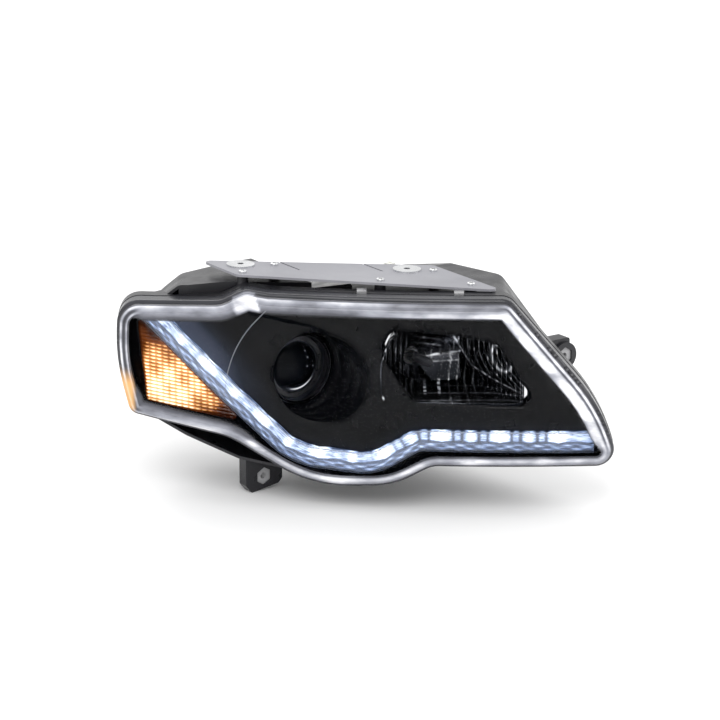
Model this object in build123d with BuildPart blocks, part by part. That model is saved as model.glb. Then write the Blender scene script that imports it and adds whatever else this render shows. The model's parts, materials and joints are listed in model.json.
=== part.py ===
"""A car headlight assembly, right-hand side, in millimetres.

-Y points to the front of the car, +X inboard, +Z up. The origin is midway between the two upper
fixing holes, on the top face of the mounting plate. The lens is swept back, so many outlines are
drawn on LENS, an upright plane turned by SWEEP, whose local x runs inboard along the lens, local y
is up, and whose normal points out of the lens.
"""

import os
from math import atan2, cos, radians, sin, sqrt

from build123d import *

os.makedirs("parts", exist_ok=True)

# ---- driving dimensions ----
SWEEP = 35.0  # how far the lens is turned back from the car's width
SEAM_R = 1250.0  # plan radius of the seam between lens and housing
SEAM_MID = 230.0  # where along the lens the seam stands furthest forward
SEAM_FWD = 88.0  # how far forward it stands there
LENS_DEEP = 22.0  # from the seam to the edge of the lens face
LENS_BULGE = 9.0  # how much further the lens face crowns at mid height
LENS_MID_Z = -105.0  # height of the crown
LENS_HALF_H = 105.0  # half height over which the crown falls away
WALL = 3.0  # moulded wall
LIP = 3.5  # how far the housing's channel stands out beyond the lens
CLIP_GAP = 1.1  # between that lip and the clips over it
CHANNEL_DEEP = 11.0
CHANNEL_WIDE = 4.4

LOW_X, LOW_Z = -38.0, -102.0  # low-beam optical axis
HIGH_X, HIGH_Z = 76.0, -97.0  # high-beam optical axis
TURN_X, TURN_Z = -138.0, -104.0  # turn-signal bulb axis
REAR_Y = 122.0  # outside of the rear wall behind the low beam
HIGH_REAR_Y = 46.0  # outside of the rear wall behind the high beam

PLATE_TILT = 1.7  # the mounting plate falls towards the inboard side
PLATE_T = 2.5
BOLT_X, BOLT_Y = 70.6, -52.1  # upper fixing hole; the other one is opposite
BOLT_HOLE_R = 3.4

AIM_Y = 12.0  # plane of the three aiming balls
AIM_X, AIM_Z = -70.0, -48.0  # fixed aiming pivot
AIM_DROP = 106.0  # vertical adjuster below the pivot
AIM_REACH = 190.0  # horizontal adjuster inboard of the pivot
BALL_R = 4.5
BALL_PLAY = 0.5  # clearance around each ball in its socket

LOW_BORE, LOW_COLLAR = 36.0, 18.0  # inside radius of the low-beam access collar, and how far it stands out
HIGH_BORE, HIGH_COLLAR = 31.0, 16.0
TURN_BORE, TURN_COLLAR = 14.0, 5.0
CAP_T = 3.0  # wall of the two access caps
RUNNING = 0.3  # clearance between pieces that turn or slide past each other
ROD_R = 3.0  # aiming rods
ROD_COLLAR = 4.0
STUD_R = 3.0  # shank of the fixed pivot's stud
PLUG_X, PLUG_Z = 86.0, -160.0  # main connector
PLUG_HALF_W, PLUG_HALF_H = 20.0, 8.0
VENT_X, VENT_Z = -145.0, -56.0
TAB_X, TAB_Z = -67.0, -224.0  # fixing hole of the lower tab
TAB_FRONT, TAB_T = 16.0, 13.0
EAR_X, EAR_Z = 191.0, -88.6  # fixing hole of the side ear
EAR_FRONT, EAR_T, EAR_R = -171.0, 19.0, 15.0
HEX_FLATS = 17.0  # the two threaded sleeves are hexagonal
HEX_LONG, HEX_SUNK = 10.0, 2.0
HEX_HOLE_R = 3.3
CARRIER_Y, CARRIER_T = 14.0, 3.0  # front face of the aiming frame's plate
FLANGE_R = 45.0  # projector flange on the aiming frame
PROJECTOR_SCREW_R = 40.0
BULB_SEAT = 90.0  # the low-beam bulb flange's seat
HIGH_VERTEX = -50.0  # vertex of the high-beam reflector
HIGH_SEAT = HIGH_VERTEX + 7.0
HIGH_FOCUS = 28.0
HIGH_BOX = (2.0, 126.0, -128.0, -42.0)  # inside of the high-beam reflector: left, right, bottom, top
CORNER_CUT, CORNER_DROP = 20.0, 26.0  # the box's cut corner, along X and Z
SHELL = 2.5  # reflector walls
BEZEL_T = 2.5
LED_SHARES = [0.02, 0.16, 0.31, 0.445, 0.58, 0.70, 0.815, 0.93]  # where the diodes stand along the strip

TURN = radians(SWEEP)
ALONG = Vector(cos(TURN), -sin(TURN), 0)
OUTWARD = Vector(-sin(TURN), -cos(TURN), 0)
AIM_LOW_Z = AIM_Z - AIM_DROP
AIM_FAR_X = AIM_X + AIM_REACH
LENS = Plane(origin=(0, 0, 0), x_dir=ALONG, z_dir=OUTWARD)
UP = Vector(0, 0, 1)
SEAM_AXIS = ALONG * SEAM_MID + OUTWARD * (SEAM_FWD - SEAM_R)


# ---- outlines on LENS: corner points and corner radii ----
SEAM_OUTLINE = [
    ((-213, -31), 24), ((-106, -23), 30), ((-80, -9.5), 14), ((-57, -12), 16), ((190, -9.5), 14),
    ((282, -117), 200), ((305, -182), 16), ((112, -184), 30), ((72, -208), 90), ((-12, -213), 130),
    ((-97, -164), 80), ((-202, -147), 8), ((-216, -90), 200),
]
# the underside of the casing bellies out behind the lower outboard edge of the lens
BELLY_OUTLINE = [
    ((-192, -120), 4), ((-188, -158), 8), ((-147, -178), 20), ((-90, -199), 30), ((-20, -209), 10),
    ((20, -150), 4),
]
# behind the upper outboard edge of the lens the casing rises in a shoulder
SHOULDER_OUTLINE = [
    ((-178, -80), 4), ((-176, -34), 6), ((-152, -13), 12), ((-104, -8.5), 30), ((30, -10), 4),
    ((30, -80), 4),
]
STRIP_PATH = [(-184, -42), (-96, -126), (-30, -184), (50, -192), (97, -160), (283, -160)]
STRIP_RADII = [100, 70, 50, 25]
STRIP_WIDE = 16.0
# the casing's body seen from above, and from the side with Y before Z
PLAN_OUTLINE = [
    (-300, REAR_Y), (22, REAR_Y), (34, REAR_Y - 14), (34, HIGH_REAR_Y), (138, HIGH_REAR_Y),
    (168, -100), (184, -196), (215, -232), (270, -300), (-300, -300),
]
SIDE_OUTLINE = [(-330, 30), (84, 30), (100, -6), (REAR_Y, -30), (REAR_Y, -178), (60, -216), (-330, -250)]
# inboard of ROOF_STEP_X the roof falls away to the rear, Y before Z
ROOF_STEP_X = -25.0
ROOF_CUT = [(-40, -10), (46, -28), (200, -52), (200, 60), (-40, 60)]
AMBER_OUTLINE = [((-197, -50), 4), ((-188, -139), 6), ((-89, -154), 4)]
HIGH_OUTLINE = [
    ((58, -60), 12), ((74, -44), 12), ((135, -48), 20), ((180, -57), 10), ((218, -116), 6), ((207, -126), 4),
    ((94, -124), 10), ((66, -84), 20),
]


def save(part, name):
    """Labels a finished piece and writes it as its own STEP file."""
    part.label = name
    export_step(part, f"parts/{name}.step")


def point(along, up, out):
    """The point with those LENS coordinates."""
    return ALONG * along + OUTWARD * out + UP * up


def seam_out(along):
    """How far out of LENS the seam stands at that place along it."""
    return SEAM_FWD - SEAM_R + sqrt(SEAM_R**2 - (along - SEAM_MID) ** 2)


def prism(outline, start, end, grow=0.0):
    """A rounded outline on LENS, grown or shrunk, and extruded between two distances out of LENS."""
    corners = [corner for corner, _ in outline]
    radii = [radius for _, radius in outline]
    with BuildPart() as solid:
        with BuildSketch(LENS.offset(start)):
            with BuildLine():
                FilletPolyline(*corners, radius=radii, close=True)
            make_face()
            if grow:
                offset(amount=grow, kind=Kind.INTERSECTION)
        extrude(amount=end - start)
    return solid.part


def barrel(out):
    """The upright cylinder whose wall stands that far in front of the seam."""
    with BuildPart() as solid:
        with BuildSketch(Plane(origin=SEAM_AXIS - UP * 260, x_dir=ALONG, z_dir=UP)):
            Circle(SEAM_R + out)
        extrude(amount=300)
    return solid.part


def dome(out):
    """Everything behind a crowned lens face that stands that far in front of the seam at its edges."""
    edge = SEAM_R + out
    high, low = LENS_MID_Z + LENS_HALF_H, LENS_MID_Z - LENS_HALF_H
    with BuildPart() as solid:
        with BuildSketch(Plane(origin=SEAM_AXIS, x_dir=OUTWARD, z_dir=ALONG * -1)):
            with BuildLine():
                ThreePointArc((edge, low), (edge + LENS_BULGE, LENS_MID_Z), (edge, high))
                Polyline(
                    (edge, high), (edge, high + 30), (600, high + 30), (600, low - 30), (edge, low - 30),
                    (edge, low),
                )
            make_face()
        revolve(axis=Axis(SEAM_AXIS, UP))
    return solid.part


def turned(x, z, profile):
    """A solid turned about the line parallel to Y through (x, z), from (radius, y) points."""
    with BuildPart() as solid:
        with BuildSketch(Plane(origin=(x, 0, z), x_dir=(1, 0, 0), z_dir=UP)):
            with BuildLine():
                Polyline(*profile, close=True)
            make_face()
        revolve(axis=Axis((x, 0, z), (0, 1, 0)))
    return solid.part


def tube(x, z, start, end, outer, inner=0.0):
    """A round bar or tube along Y."""
    return turned(x, z, [(inner, start), (outer, start), (outer, end), (inner, end)])


def across(y):
    """The plane across the car at that y, seen from the front: local x is X and local y is Z."""
    return Plane(origin=(0, y, 0), x_dir=(1, 0, 0), z_dir=(0, -1, 0))


def slab(corners, radius, start, end):
    """A polygon in X and Z with one corner radius, between two values of Y."""
    with BuildPart() as solid:
        with BuildSketch(across(start)):
            with BuildLine():
                FilletPolyline(*corners, radius=radius, close=True)
            make_face()
        extrude(amount=start - end)
    return solid.part


def block(low, high, radius=0.0):
    """A box between two corners, its upright edges rounded."""
    size = [b - a for a, b in zip(low, high)]
    middle = [(a + b) / 2 for a, b in zip(low, high)]
    with BuildPart() as solid:
        with Locations(tuple(middle)):
            Box(*size)
        if radius:
            fillet(solid.edges().filter_by(Axis.Y), radius)
    return solid.part


def seat(x, y, z, facing):
    """A plane at that place whose normal is the way a screw's head or a button faces."""
    return Plane(origin=(x, y, z), z_dir=facing)


def screw(place, length, radius=2.0, head_r=4.2, head_t=2.6):
    """A cross-slotted screw: its head stands on the plane and its shank reaches below it."""
    with BuildPart() as solid:
        with BuildSketch(place):
            Circle(head_r)
        extrude(amount=head_t)
        fillet(solid.faces().sort_by(place_axis(place))[-1].edges(), head_t * 0.4)
        with BuildSketch(place):
            Circle(radius)
        extrude(amount=-length)
        with BuildSketch(place.offset(head_t)):
            Rectangle(head_r * 1.1, 0.9)
            Rectangle(0.9, head_r * 1.1)
        extrude(amount=-head_t * 0.5, mode=Mode.SUBTRACT)
    return solid.part


def place_axis(place):
    """The axis through a plane's origin along its normal."""
    return Axis(place.origin, place.z_dir)


def ribbon(width, start, end):
    """The light strip's path at that width, between two distances out of LENS."""
    with BuildPart() as solid:
        with BuildSketch(LENS.offset(start)):
            with BuildLine() as line:
                FilletPolyline(*STRIP_PATH, radius=STRIP_RADII)
            trace(line.line, line_width=width)
        extrude(amount=end - start)
    return solid.part


def bowl(vertex_y, focus, reach, x, z):
    """Everything in front of a paraboloid that opens towards -Y."""
    steps = 14
    radii = [reach * n / steps for n in range(steps + 1)]
    curve = [(radius, vertex_y - radius**2 / (4 * focus)) for radius in radii]
    front = curve[-1][1] - 200
    return turned(x, z, curve + [(reach, front), (0, front)])


# ---- shared volumes ----
def case_volume(inset):
    """The casing's body as a solid, every face moved in by inset."""
    with BuildPart() as solid:
        add(prism(SEAM_OUTLINE, -220, 110, -4 - inset))
        add(prism(BELLY_OUTLINE, -60 + inset, 110, -inset))
        add(prism(SHOULDER_OUTLINE, -90 + inset, 26 - inset, -inset))
        with BuildSketch(Plane(origin=(0, 0, -270), x_dir=(1, 0, 0), z_dir=UP)):
            with BuildLine():
                FilletPolyline(*PLAN_OUTLINE, radius=6, close=True)
            make_face()
            if inset:
                offset(amount=-inset, kind=Kind.INTERSECTION)
        extrude(amount=320, mode=Mode.INTERSECT)
        with BuildSketch(Plane(origin=(-320, 0, 0), x_dir=(0, 1, 0), z_dir=(1, 0, 0))):
            with BuildLine():
                FilletPolyline(*SIDE_OUTLINE, radius=8, close=True)
            make_face()
            if inset:
                offset(amount=-inset, kind=Kind.INTERSECTION)
        extrude(amount=700, mode=Mode.INTERSECT)
        with BuildSketch(Plane(origin=(ROOF_STEP_X - inset, 0, 0), x_dir=(0, 1, 0), z_dir=(1, 0, 0))):
            with BuildLine():
                Polyline(*ROOF_CUT, close=True)
            make_face()
            if inset:
                offset(amount=inset, kind=Kind.INTERSECTION)
        extrude(amount=400, mode=Mode.SUBTRACT)
    return solid.part


CASE_SOLID = case_volume(0.0)
CASE_HOLLOW = case_volume(WALL)
SEAM_SOLID = barrel(0.0)


# ---- top mounting plate ----
TILT = radians(PLATE_TILT)
PLATE = Plane(origin=(0, 0, 0), x_dir=(cos(TILT), 0, -sin(TILT)), z_dir=(sin(TILT), 0, cos(TILT)))
PLATE_OUTLINE = [(-96, 19), (107, -170), (107, -50), (-96, 90)]
BOLTS = [(-BOLT_X, -BOLT_Y), (BOLT_X, BOLT_Y)]
NOTCHES = [(-28, 4), (45, -44)]  # two slits cut forward from the plate's rear edge, to these points
NOTCH_WIDE, NOTCH_LONG = 2.2, 60.0
POSTS = [(-86, 24), (-40, 34), (20, -75), (92, -70), (92, -136)]

with BuildPart() as top_plate:
    with BuildSketch(PLATE):
        with BuildLine():
            FilletPolyline(*PLATE_OUTLINE, radius=6, close=True)
        make_face()
        with Locations(*BOLTS):
            Circle(BOLT_HOLE_R, mode=Mode.SUBTRACT)
        with Locations(*POSTS):
            Circle(2.3, mode=Mode.SUBTRACT)
        for x, start in NOTCHES:
            with Locations((x, start)):
                Rectangle(NOTCH_WIDE, NOTCH_LONG, align=(Align.CENTER, Align.MIN), mode=Mode.SUBTRACT)
    extrude(amount=-PLATE_T)
save(top_plate.part, "top_plate")

with BuildPart() as top_washers:
    with BuildSketch(PLATE):
        with Locations(*BOLTS):
            Circle(15)
            Circle(BOLT_HOLE_R, mode=Mode.SUBTRACT)
    extrude(amount=1.6)
save(top_washers.part, "top_washers")

post_seats = [PLATE.from_local_coords(Vector(x, y, 0)) for x, y in POSTS]
with BuildPart() as top_plate_screws:
    for place in post_seats:
        add(screw(seat(place.X, place.Y, place.Z, PLATE.z_dir), 9))
save(top_plate_screws.part, "top_plate_screws")

with BuildPart() as plate_posts:
    with BuildSketch(PLATE.offset(-PLATE_T)):
        with Locations(*POSTS):
            Circle(6)
    extrude(amount=-30)
with BuildPart() as post_holes:
    with BuildSketch(PLATE.offset(-PLATE_T)):
        with Locations(*POSTS):
            Circle(2.05)
    extrude(amount=-7.5)

# ---- lens, seal and casing ----
with BuildPart() as lens_cover:
    add(prism(SEAM_OUTLINE, -40, 150))
    add(dome(LENS_DEEP), mode=Mode.INTERSECT)
    add(prism(SEAM_OUTLINE, -50, 150, -WALL) & dome(LENS_DEEP - WALL), mode=Mode.SUBTRACT)
    add(barrel(-6.0), mode=Mode.SUBTRACT)
save(lens_cover.part, "lens_cover")

with BuildPart() as seal_bead:
    add(prism(SEAM_OUTLINE, -40, 110, 0.4))
    add(prism(SEAM_OUTLINE, -50, 120, -3.4), mode=Mode.SUBTRACT)
    add(barrel(-6.0), mode=Mode.INTERSECT)
    add(barrel(-CHANNEL_DEEP), mode=Mode.SUBTRACT)
save(seal_bead.part, "seal_bead")

TAB_OUTLINE = [(-90, -188), (-90, -231), (-83, -240), (-49, -235), (-44, -230), (-44, -188)]
# holes through the rear walls: X, Z, outside of the wall, bore, collar outside radius, collar height
PORTS = [
    (LOW_X, LOW_Z, REAR_Y, LOW_BORE, LOW_BORE + 3, LOW_COLLAR),
    (HIGH_X, HIGH_Z, HIGH_REAR_Y, HIGH_BORE, HIGH_BORE + 3, HIGH_COLLAR),
    (TURN_X, TURN_Z, REAR_Y, TURN_BORE, TURN_BORE + 4, TURN_COLLAR),
    (AIM_X, AIM_LOW_Z, REAR_Y, ROD_R + 1.5, ROD_R + 6, ROD_COLLAR),
    (AIM_FAR_X, AIM_Z, HIGH_REAR_Y, ROD_R + 1.5, ROD_R + 6, ROD_COLLAR),
    (AIM_X, AIM_Z, REAR_Y, STUD_R + 0.05, STUD_R + 5, ROD_COLLAR),
    (VENT_X, VENT_Z, REAR_Y, 4.0, 7.0, 3.0),
]


def hexagon(x, z, start, end, flats):
    """A hexagonal bar along Y."""
    with BuildPart() as solid:
        with BuildSketch(across(start)):
            with Locations((x, z)):
                RegularPolygon(flats / 2, 6, major_radius=False, rotation=30)
        extrude(amount=start - end)
    return solid.part


with BuildPart() as housing:
    add(prism(SEAM_OUTLINE, -40, 110, LIP))
    add(SEAM_SOLID, mode=Mode.INTERSECT)
    add(barrel(-CHANNEL_DEEP - WALL), mode=Mode.SUBTRACT)
    add(CASE_SOLID & barrel(-5.0))
    add(plate_posts.part)
    for x, z, wall_y, bore, outside, height in PORTS:
        add(tube(x, z, wall_y - 2, wall_y + height, outside))
    add(slab(TAB_OUTLINE, 3, TAB_FRONT, TAB_FRONT + TAB_T))
    add(tube(EAR_X, EAR_Z, EAR_FRONT, EAR_FRONT + EAR_T, EAR_R))
    add(block((160, EAR_FRONT + 3, EAR_Z - 9), (EAR_X + 8, EAR_FRONT + EAR_T, EAR_Z + 19), 3))
    add((prism(SEAM_OUTLINE, -50, 120, -7.0) & barrel(5.0)) - barrel(-16.0), mode=Mode.SUBTRACT)
    add(CASE_HOLLOW, mode=Mode.SUBTRACT)
    channel = prism(SEAM_OUTLINE, -60, 120, 0.4) - prism(SEAM_OUTLINE, -70, 130, 0.4 - CHANNEL_WIDE + 0.6)
    add(channel - barrel(-CHANNEL_DEEP), mode=Mode.SUBTRACT)
    add(post_holes.part, mode=Mode.SUBTRACT)
    for x, z, wall_y, bore, outside, height in PORTS:
        add(tube(x, z, wall_y - 9, wall_y + height + 2, bore), mode=Mode.SUBTRACT)
    add(
        block(
            (PLUG_X - PLUG_HALF_W - 0.2, HIGH_REAR_Y - 9, PLUG_Z - PLUG_HALF_H - 0.2),
            (PLUG_X + PLUG_HALF_W + 0.2, HIGH_REAR_Y + 5, PLUG_Z + PLUG_HALF_H + 0.2),
        ),
        mode=Mode.SUBTRACT,
    )
    for x, z, front, deep in [(TAB_X, TAB_Z, TAB_FRONT, TAB_T), (EAR_X, EAR_Z, EAR_FRONT, EAR_T)]:
        add(hexagon(x, z, front - 1, front + HEX_SUNK + HEX_LONG, HEX_FLATS + 0.1), mode=Mode.SUBTRACT)
        add(tube(x, z, front, front + deep + 1, HEX_HOLE_R + 1.5), mode=Mode.SUBTRACT)
save(housing.part, "housing")

with BuildPart() as lower_hex_insert:
    add(hexagon(TAB_X, TAB_Z, TAB_FRONT + HEX_SUNK, TAB_FRONT + HEX_SUNK + HEX_LONG, HEX_FLATS))
    add(tube(TAB_X, TAB_Z, TAB_FRONT, TAB_FRONT + TAB_T, HEX_HOLE_R), mode=Mode.SUBTRACT)
save(lower_hex_insert.part, "lower_hex_insert")

with BuildPart() as side_hex_insert:
    add(hexagon(EAR_X, EAR_Z, EAR_FRONT + HEX_SUNK, EAR_FRONT + HEX_SUNK + HEX_LONG, HEX_FLATS))
    add(tube(EAR_X, EAR_Z, EAR_FRONT, EAR_FRONT + EAR_T, HEX_HOLE_R), mode=Mode.SUBTRACT)
save(side_hex_insert.part, "side_hex_insert")


def lens_clip(along, up, side):
    """A spring clip that hooks over the channel's lip; side is 1 on top and -1 underneath."""
    place = Plane(origin=point(along, up, seam_out(along)), x_dir=OUTWARD, z_dir=ALONG * -1)
    lip = LIP + CLIP_GAP
    with BuildPart() as solid:
        with BuildSketch(place):
            with BuildLine():
                Polyline(
                    (-12, lip * side), (0.9, lip * side), (0.9, 0.4 * side), (2.1, 0.4 * side),
                    (2.1, (lip + 1.2) * side), (-12, (lip + 1.2) * side), close=True,
                )
            make_face()
        extrude(amount=5, both=True)
    return solid.part


CLIPS = [(40, -11.0, 1), (140, -10.0, 1), (160, -183.4, -1), (250, -182.5, -1)]
with BuildPart() as lens_clips:
    for along, up, side in CLIPS:
        add(lens_clip(along, up, side))
save(lens_clips.part, "lens_clips")

# ---- bezel and daytime light strip ----
FUNNEL_ALONG, FUNNEL_UP = -2.0, -97.0


def funnel(grow):
    """A solid from the round hole in front of the projector out to the bezel's face."""
    with BuildPart() as solid:
        with BuildSketch(across(-9)):
            with Locations((LOW_X, LOW_Z)):
                Circle(39.7 + grow)
        with BuildSketch(LENS.offset(82)):
            with Locations((FUNNEL_ALONG, FUNNEL_UP)):
                Circle(57 + grow)
        loft()
    return solid.part


with BuildPart() as bezel:
    add(prism(SEAM_OUTLINE, -40, 130, -3.4))
    add(barrel(BEZEL_T), mode=Mode.INTERSECT)
    add(barrel(0.0), mode=Mode.SUBTRACT)
    add(funnel(2.2) & barrel(BEZEL_T))
    add(funnel(0.0), mode=Mode.SUBTRACT)
    add(ribbon(STRIP_WIDE + 3.2, -30, 130), mode=Mode.SUBTRACT)
    add(prism(AMBER_OUTLINE, -40, 130, 0.3), mode=Mode.SUBTRACT)
    add(prism(HIGH_OUTLINE, -40, 130), mode=Mode.SUBTRACT)
save(bezel.part, "bezel")

with BuildPart() as projector_trim_ring:
    add(turned(LOW_X, LOW_Z, [(35.4, -9), (35.4, -12.5), (36.6, -14), (37.8, -12.5), (37.8, -9)]))
save(projector_trim_ring.part, "projector_trim_ring")

with BuildLine(Plane.XY) as strip_line:
    FilletPolyline(*STRIP_PATH, radius=STRIP_RADII)
strip_wire = strip_line.wire()
led_spots = [strip_wire @ share for share in LED_SHARES]


def led_body(along, up, half, start, end):
    """A square block on the strip, between two distances from the seam."""
    place = Plane(origin=point(along, up, seam_out(along) + start), x_dir=ALONG, z_dir=OUTWARD)
    with BuildPart() as solid:
        with BuildSketch(place):
            Rectangle(2 * half, 2 * half)
        extrude(amount=end - start)
    return solid.part


with BuildPart() as drl_reflector_strip:
    add(ribbon(STRIP_WIDE + 2.4, -30, 130))
    add(barrel(6.0), mode=Mode.INTERSECT)
    add(barrel(-8.0), mode=Mode.SUBTRACT)
    add(ribbon(STRIP_WIDE, -40, 140) - barrel(-6.5), mode=Mode.SUBTRACT)
    for spot in led_spots:
        add(led_body(spot.X, spot.Y + 3, 2.2, -10, -5), mode=Mode.SUBTRACT)
save(drl_reflector_strip.part, "drl_reflector_strip")

with BuildPart() as drl_light_guide:
    add(ribbon(STRIP_WIDE - 0.4, -30, 130))
    add(barrel(5.5), mode=Mode.INTERSECT)
    add(barrel(3.5), mode=Mode.SUBTRACT)
save(drl_light_guide.part, "drl_light_guide")

with BuildPart() as drl_circuit_board:
    add(ribbon(STRIP_WIDE - 3, -30, 130))
    add(barrel(-8.0), mode=Mode.INTERSECT)
    add(barrel(-9.6), mode=Mode.SUBTRACT)
save(drl_circuit_board.part, "drl_circuit_board")

with BuildPart() as drl_leds:
    for spot in led_spots:
        add(led_body(spot.X, spot.Y + 3, 1.7, -7.7, -5.4))
save(drl_leds.part, "drl_leds")

# ---- turn signal ----
with BuildPart() as turn_lens_amber:
    add(prism(AMBER_OUTLINE, -40, 130))
    add(barrel(BEZEL_T + 0.5), mode=Mode.INTERSECT)
    add(barrel(-0.5), mode=Mode.SUBTRACT)
save(turn_lens_amber.part, "turn_lens_amber")

TURN_VERTEX, TURN_RIGHT = 108.0, -92.0
with BuildPart() as turn_reflector:
    add(prism(AMBER_OUTLINE, -90, 90, 1.8))
    add(barrel(-0.5), mode=Mode.INTERSECT)
    add(bowl(TURN_VERTEX + 1.8, 16, 90, TURN_X, TURN_Z), mode=Mode.INTERSECT)
    add(block((-260, -120, -260), (TURN_RIGHT, 113, 0)), mode=Mode.INTERSECT)
    add(tube(TURN_X, TURN_Z, 100, 113, TURN_BORE + 3))
    cavity = prism(AMBER_OUTLINE, -90, 100) & bowl(TURN_VERTEX, 16, 90, TURN_X, TURN_Z)
    add(cavity & block((-260, -120, -260), (TURN_RIGHT - 1.8, 113, 0)), mode=Mode.SUBTRACT)
    add(tube(TURN_X, TURN_Z, 90, 120, TURN_BORE - 0.2), mode=Mode.SUBTRACT)
save(turn_reflector.part, "turn_reflector")

with BuildPart() as turn_bulb_glass:
    outline = [(0, 74), (4, 74.8), (7.5, 77.5), (9, 82), (8.5, 88), (6, 94), (5.5, 100), (0, 100)]
    add(turned(TURN_X, TURN_Z, outline))
save(turn_bulb_glass.part, "turn_bulb_glass")

socket_face = REAR_Y + TURN_COLLAR
with BuildPart() as turn_socket_seal:
    add(tube(TURN_X, TURN_Z, socket_face, socket_face + 2, TURN_BORE + 3.5, TURN_BORE + 0.2))
save(turn_socket_seal.part, "turn_socket_seal")

with BuildPart() as turn_bulb_socket:
    add(tube(TURN_X, TURN_Z, 100, socket_face + 2.3, TURN_BORE - 0.5))
    add(tube(TURN_X, TURN_Z, socket_face + 2.3, socket_face + 5, TURN_BORE + 4))
    add(block((TURN_X - 9, socket_face + 5, TURN_Z - 6), (TURN_X + 9, socket_face + 20, TURN_Z + 6), 2))
    grip_tip = (TURN_X + 15, socket_face + 14, TURN_Z + 1.5)
    add(block((TURN_X - 15, socket_face + 5, TURN_Z - 1.5), grip_tip, 1))
    plug = block((TURN_X - 7, socket_face + 9, TURN_Z - 4), (TURN_X + 7, socket_face + 21, TURN_Z + 4))
    add(plug, mode=Mode.SUBTRACT)
    add(tube(TURN_X, TURN_Z, 99, 112, 8), mode=Mode.SUBTRACT)
    add(tube(TURN_X, TURN_Z, 100, 112, 5.5))
save(turn_bulb_socket.part, "turn_bulb_socket")

# ---- aiming frame ----
CARRIER_OUTLINE = [
    (-82, -36), (132, -36), (132, -132), (24, -132), (4, -166), (-78, -166), (-82, -150),
]
REFLECTOR_POSTS = [(HIGH_X + side * 44, HIGH_Z + up) for side in (-1, 1) for up in (28, -28)]
REFLECTOR_POST_END = -58.0
CUPS = [(AIM_X, AIM_LOW_Z), (AIM_FAR_X, AIM_Z)]
screw_turns = [radians(angle) for angle in (90, 210, 330)]
projector_bolts = [
    (LOW_X + PROJECTOR_SCREW_R * cos(turn), LOW_Z + PROJECTOR_SCREW_R * sin(turn)) for turn in screw_turns
]
CAVITY_R = BALL_R + BALL_PLAY
CARRIER_BACK = CARRIER_Y + CARRIER_T
CUP_PROFILE = [(0, AIM_Y - 6.5), (4, AIM_Y - 6.5), (7.5, AIM_Y - 3), (7.5, CARRIER_BACK), (0, CARRIER_BACK)]


def ball(x, z, radius):
    """A ball on the plane of the aiming points."""
    with BuildPart() as solid:
        with Locations((x, AIM_Y, z)):
            Sphere(radius)
    return solid.part


with BuildPart() as carrier_frame:
    add(slab(CARRIER_OUTLINE, 1.5, CARRIER_Y, CARRIER_Y + CARRIER_T))
    for x, z in CUPS:
        add(turned(x, z, CUP_PROFILE))
    add(tube(AIM_X, AIM_Z, AIM_Y - 7, CARRIER_Y + CARRIER_T, 11))
    for x, z in REFLECTOR_POSTS:
        add(tube(x, z, REFLECTOR_POST_END, CARRIER_Y + 1, 4))
    for x, z in CUPS:
        add(ball(x, z, CAVITY_R), mode=Mode.SUBTRACT)
        add(tube(x, z, AIM_Y, 20, BALL_R - 0.2), mode=Mode.SUBTRACT)
    add(tube(AIM_X, AIM_Z, 0, 20, 7.8), mode=Mode.SUBTRACT)
    add(tube(LOW_X, LOW_Z, 0, 30, 36), mode=Mode.SUBTRACT)
    add(tube(HIGH_X, HIGH_Z, 0, 30, 30), mode=Mode.SUBTRACT)
    for x, z in projector_bolts:
        add(tube(x, z, 0, 30, 2.05), mode=Mode.SUBTRACT)
save(carrier_frame.part, "carrier_frame")

with BuildPart() as pivot_socket:
    add(tube(AIM_X, AIM_Z, AIM_Y - 5.8, AIM_Y + 5, 7.5))
    add(ball(AIM_X, AIM_Z, CAVITY_R), mode=Mode.SUBTRACT)
    add(tube(AIM_X, AIM_Z, AIM_Y, 20, BALL_R - 0.2), mode=Mode.SUBTRACT)
save(pivot_socket.part, "pivot_socket")


def ball_rod(x, z, end):
    """A ball on the end of a rod that runs back to that y."""
    with BuildPart() as solid:
        add(ball(x, z, BALL_R))
        add(tube(x, z, AIM_Y, AIM_Y + 8, 2.4))
        add(tube(x, z, AIM_Y + 8, end, ROD_R))
    return solid.part


with BuildPart() as pivot_ball_stud:
    add(ball_rod(AIM_X, AIM_Z, REAR_Y + ROD_COLLAR))
    add(hexagon(AIM_X, AIM_Z, REAR_Y + ROD_COLLAR, REAR_Y + ROD_COLLAR + 5, 10))
save(pivot_ball_stud.part, "pivot_ball_stud")

with BuildPart() as levelling_motor_rod:
    add(ball_rod(AIM_X, AIM_LOW_Z, 142))
save(levelling_motor_rod.part, "levelling_motor_rod")

with BuildPart() as horizontal_adjuster_rod:
    add(ball_rod(AIM_FAR_X, AIM_Z, 62))
save(horizontal_adjuster_rod.part, "horizontal_adjuster_rod")

MOTOR_Y = REAR_Y + ROD_COLLAR
MOTOR_BACK = MOTOR_Y + 30
KNOB_X, KNOB_Z = -60.0, -157.0
with BuildPart() as levelling_motor:
    add(block((-98, MOTOR_Y, -175), (-52, MOTOR_BACK, -146), 4))
    add(block((-96, MOTOR_BACK, -173), (-76, MOTOR_BACK + 12, -159), 2))
    add(block((-94, MOTOR_BACK + 1, -171), (-78, MOTOR_BACK + 13, -161)), mode=Mode.SUBTRACT)
    add(tube(AIM_X, AIM_LOW_Z, MOTOR_Y - 1, MOTOR_BACK - 4, ROD_R + RUNNING), mode=Mode.SUBTRACT)
    add(tube(KNOB_X, KNOB_Z, MOTOR_Y + 4, MOTOR_BACK + 1, 2.5 + RUNNING), mode=Mode.SUBTRACT)
save(levelling_motor.part, "levelling_motor")


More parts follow.
